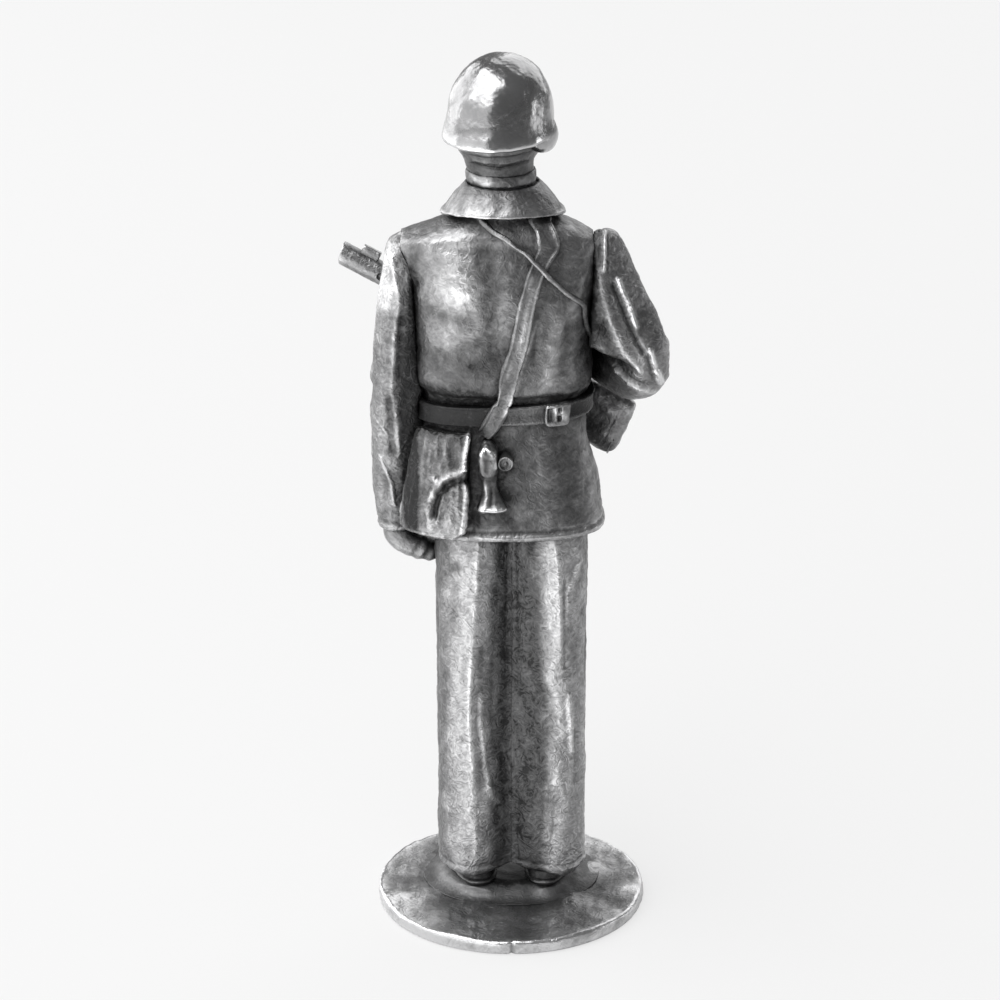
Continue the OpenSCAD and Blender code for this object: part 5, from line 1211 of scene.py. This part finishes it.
for obj, shells in castings:
    mesh = obj.data
    points = np.empty(3*len(mesh.vertices))
    relief = np.empty(len(mesh.vertices))
    mesh.vertices.foreach_get("co", points)
    mesh.attributes["relief"].data.foreach_get("value", relief)
    points = points.reshape(-1, 3)/MM
    close, wide = sampled(close_metal, points), sampled(wide_metal, points)
    x, y, z = points.T
    # Raised relief comes out bright and sunk relief dark, as the rubbed casting does. Close and wide
    # crowding of metal darkens the point: in hollows this is the wash the figure keeps, and between pieces
    # it is also painted shade.
    wear_and_painted_light = 0.5 + 1.1*np.clip(relief, -0.2, 0.25) + 0.8*(0.5 - close) + 0.6*(0.42 - wide)
    # Painted shade in the pools, on points that face the back.
    for shade_x, shade_z, half_x, half_z, depth in painted_shade_pools:
        wear_and_painted_light -= depth*np.exp(-((x - shade_x)/half_x)**4 - ((z - shade_z)/half_z)**4)*clamp(y)
    # Painted highlights along the strokes, and painted shade where a stroke is negative, on points at the
    # back.
    facing_back = np.stack([0*y, clamp(y), 0*y], -1)
    wear_and_painted_light += strokes(points, facing_back, "back", painted_highlights_and_shade)
    # A painted highlight along the top edge of the base's rim.
    wear_and_painted_light += 0.16*np.exp(-((np.hypot(x, y) - 9.1)/0.1)**2 - ((z - 0.95)/0.1)**2)
    mesh.attributes.new("wear_and_painted_light", "FLOAT", "POINT").data.foreach_set("value", clamp(wear_and_painted_light))

# Setting: a pale table that keeps a faint shadow, a large soft window at the left behind the camera with a
# pale wall under it, a panel at the left, a narrow strip at the right, a weak panel for the front and a
# pale card on the table behind the figure.
floor_mesh = bpy.data.meshes.new("floor")
floor_z, floor_corners = -2e-5, ((-3, -3), (3, -3), (3, 3), (-3, 3))
floor_mesh.from_pydata([(x, y, floor_z) for x, y in floor_corners], [], [(0, 1, 2, 3)])
floor = bpy.data.objects.new("floor", floor_mesh)
bpy.context.scene.collection.objects.link(floor)
paper = bpy.data.materials.new("pale_paper")
paper.use_nodes = True
nodes, links = paper.node_tree.nodes, paper.node_tree.links
nodes.remove(nodes["Principled BSDF"])
lit = nodes.new("ShaderNodeBsdfDiffuse")
glow = nodes.new("ShaderNodeEmission")
mixed = nodes.new("ShaderNodeMixShader")
lit.inputs["Color"].default_value = (0.8, 0.8, 0.8, 1)
glow.inputs["Color"].default_value = (0.865, 0.865, 0.865, 1)
rays, seen = nodes.new("ShaderNodeLightPath"), nodes.new("ShaderNodeMath")
seen.operation = "MULTIPLY_ADD"
links.new(rays.outputs["Is Camera Ray"], seen.inputs[0])
seen.inputs[1].default_value = 0.82
glossy = nodes.new("ShaderNodeMath")
glossy.operation = "MULTIPLY"
glossy.inputs[1].default_value = 0.2
links.new(rays.outputs["Is Glossy Ray"], glossy.inputs[0])
links.new(glossy.outputs[0], seen.inputs[2])
links.new(seen.outputs[0], mixed.inputs["Fac"])
links.new(lit.outputs[0], mixed.inputs[1])
links.new(glow.outputs[0], mixed.inputs[2])
links.new(mixed.outputs[0], nodes["Material Output"].inputs["Surface"])
floor_mesh.materials.append(paper)


def area_lamp(name, width, height, radiance, place, turn):
    """Rectangular area lamp that the camera doesn't see. Its energy is pi times radiance times area."""
    lamp = bpy.data.lights.new(name, "AREA")
    lamp.shape = "RECTANGLE"
    lamp.size, lamp.size_y = width, height
    lamp.energy = radiance*np.pi*width*height
    obj = bpy.data.objects.new(name, lamp)
    obj.location, obj.rotation_euler = place, turn
    obj.visible_camera = False
    bpy.context.scene.collection.objects.link(obj)


def panel(name, azimuth, elevation, distance, width, height, radiance):
    """Area lamp in that direction from the figure, in degrees from the back towards its left, facing it."""
    a, e = np.radians(azimuth), np.radians(elevation)
    way = np.array([np.sin(a)*np.cos(e), np.cos(a)*np.cos(e), np.sin(e)])
    area_lamp(name, width, height, radiance, way*distance + [0, 0, 0.03], (np.pi/2 - e, 0, np.pi - a))


panel("left_window", 56, 60, 0.45, 0.5, 0.42, 4.2)
panel("left_wall", 62, 14, 0.5, 1.0, 0.45, 1.1)
panel("left_side", 128, 12, 0.45, 0.45, 0.5, 2.6)
panel("right_strip", -97, 4, 0.4, 0.05, 0.12, 6.0)
panel("front_panel", 205, 30, 0.45, 0.4, 0.4, 1.6)
card_turn = np.radians(4)
card_place = (0.15*np.cos(card_turn) + 0.21*np.sin(card_turn),
              0.21*np.cos(card_turn) - 0.15*np.sin(card_turn), 0.0005)
area_lamp("table_card", 0.3, 0.4, 1.5, card_place, (np.pi, 0, -card_turn))
world = bpy.data.worlds.new("studio")
bpy.context.scene.world = world
world.use_nodes = True
nodes, links = world.node_tree.nodes, world.node_tree.links
dim = nodes["Background"]
dim.inputs["Color"].default_value = (0.24, 0.24, 0.24, 1)
white, either = nodes.new("ShaderNodeBackground"), nodes.new("ShaderNodeMixShader")
white.inputs["Color"].default_value = (0.93, 0.93, 0.93, 1)
rays = nodes.new("ShaderNodeLightPath")
links.new(rays.outputs["Is Camera Ray"], either.inputs["Fac"])
links.new(dim.outputs[0], either.inputs[1])
links.new(white.outputs[0], either.inputs[2])
links.new(either.outputs[0], nodes["World Output"].inputs["Surface"])

# Camera: behind the figure and above it, as in the photograph, with a long lens.
camera = bpy.data.objects.new("camera", bpy.data.cameras.new("camera"))
bpy.context.scene.collection.objects.link(camera)
camera.location = (0.000766, 0.2164, 0.1111)
camera_tilt = 20.7
camera.rotation_euler = (np.radians(90 - camera_tilt), 0, np.pi)
camera.data.lens = 124.56
camera.data.clip_start, camera.data.clip_end = 0.01, 20
bpy.context.scene.camera = camera
bpy.context.scene.view_settings.view_transform = "Standard"
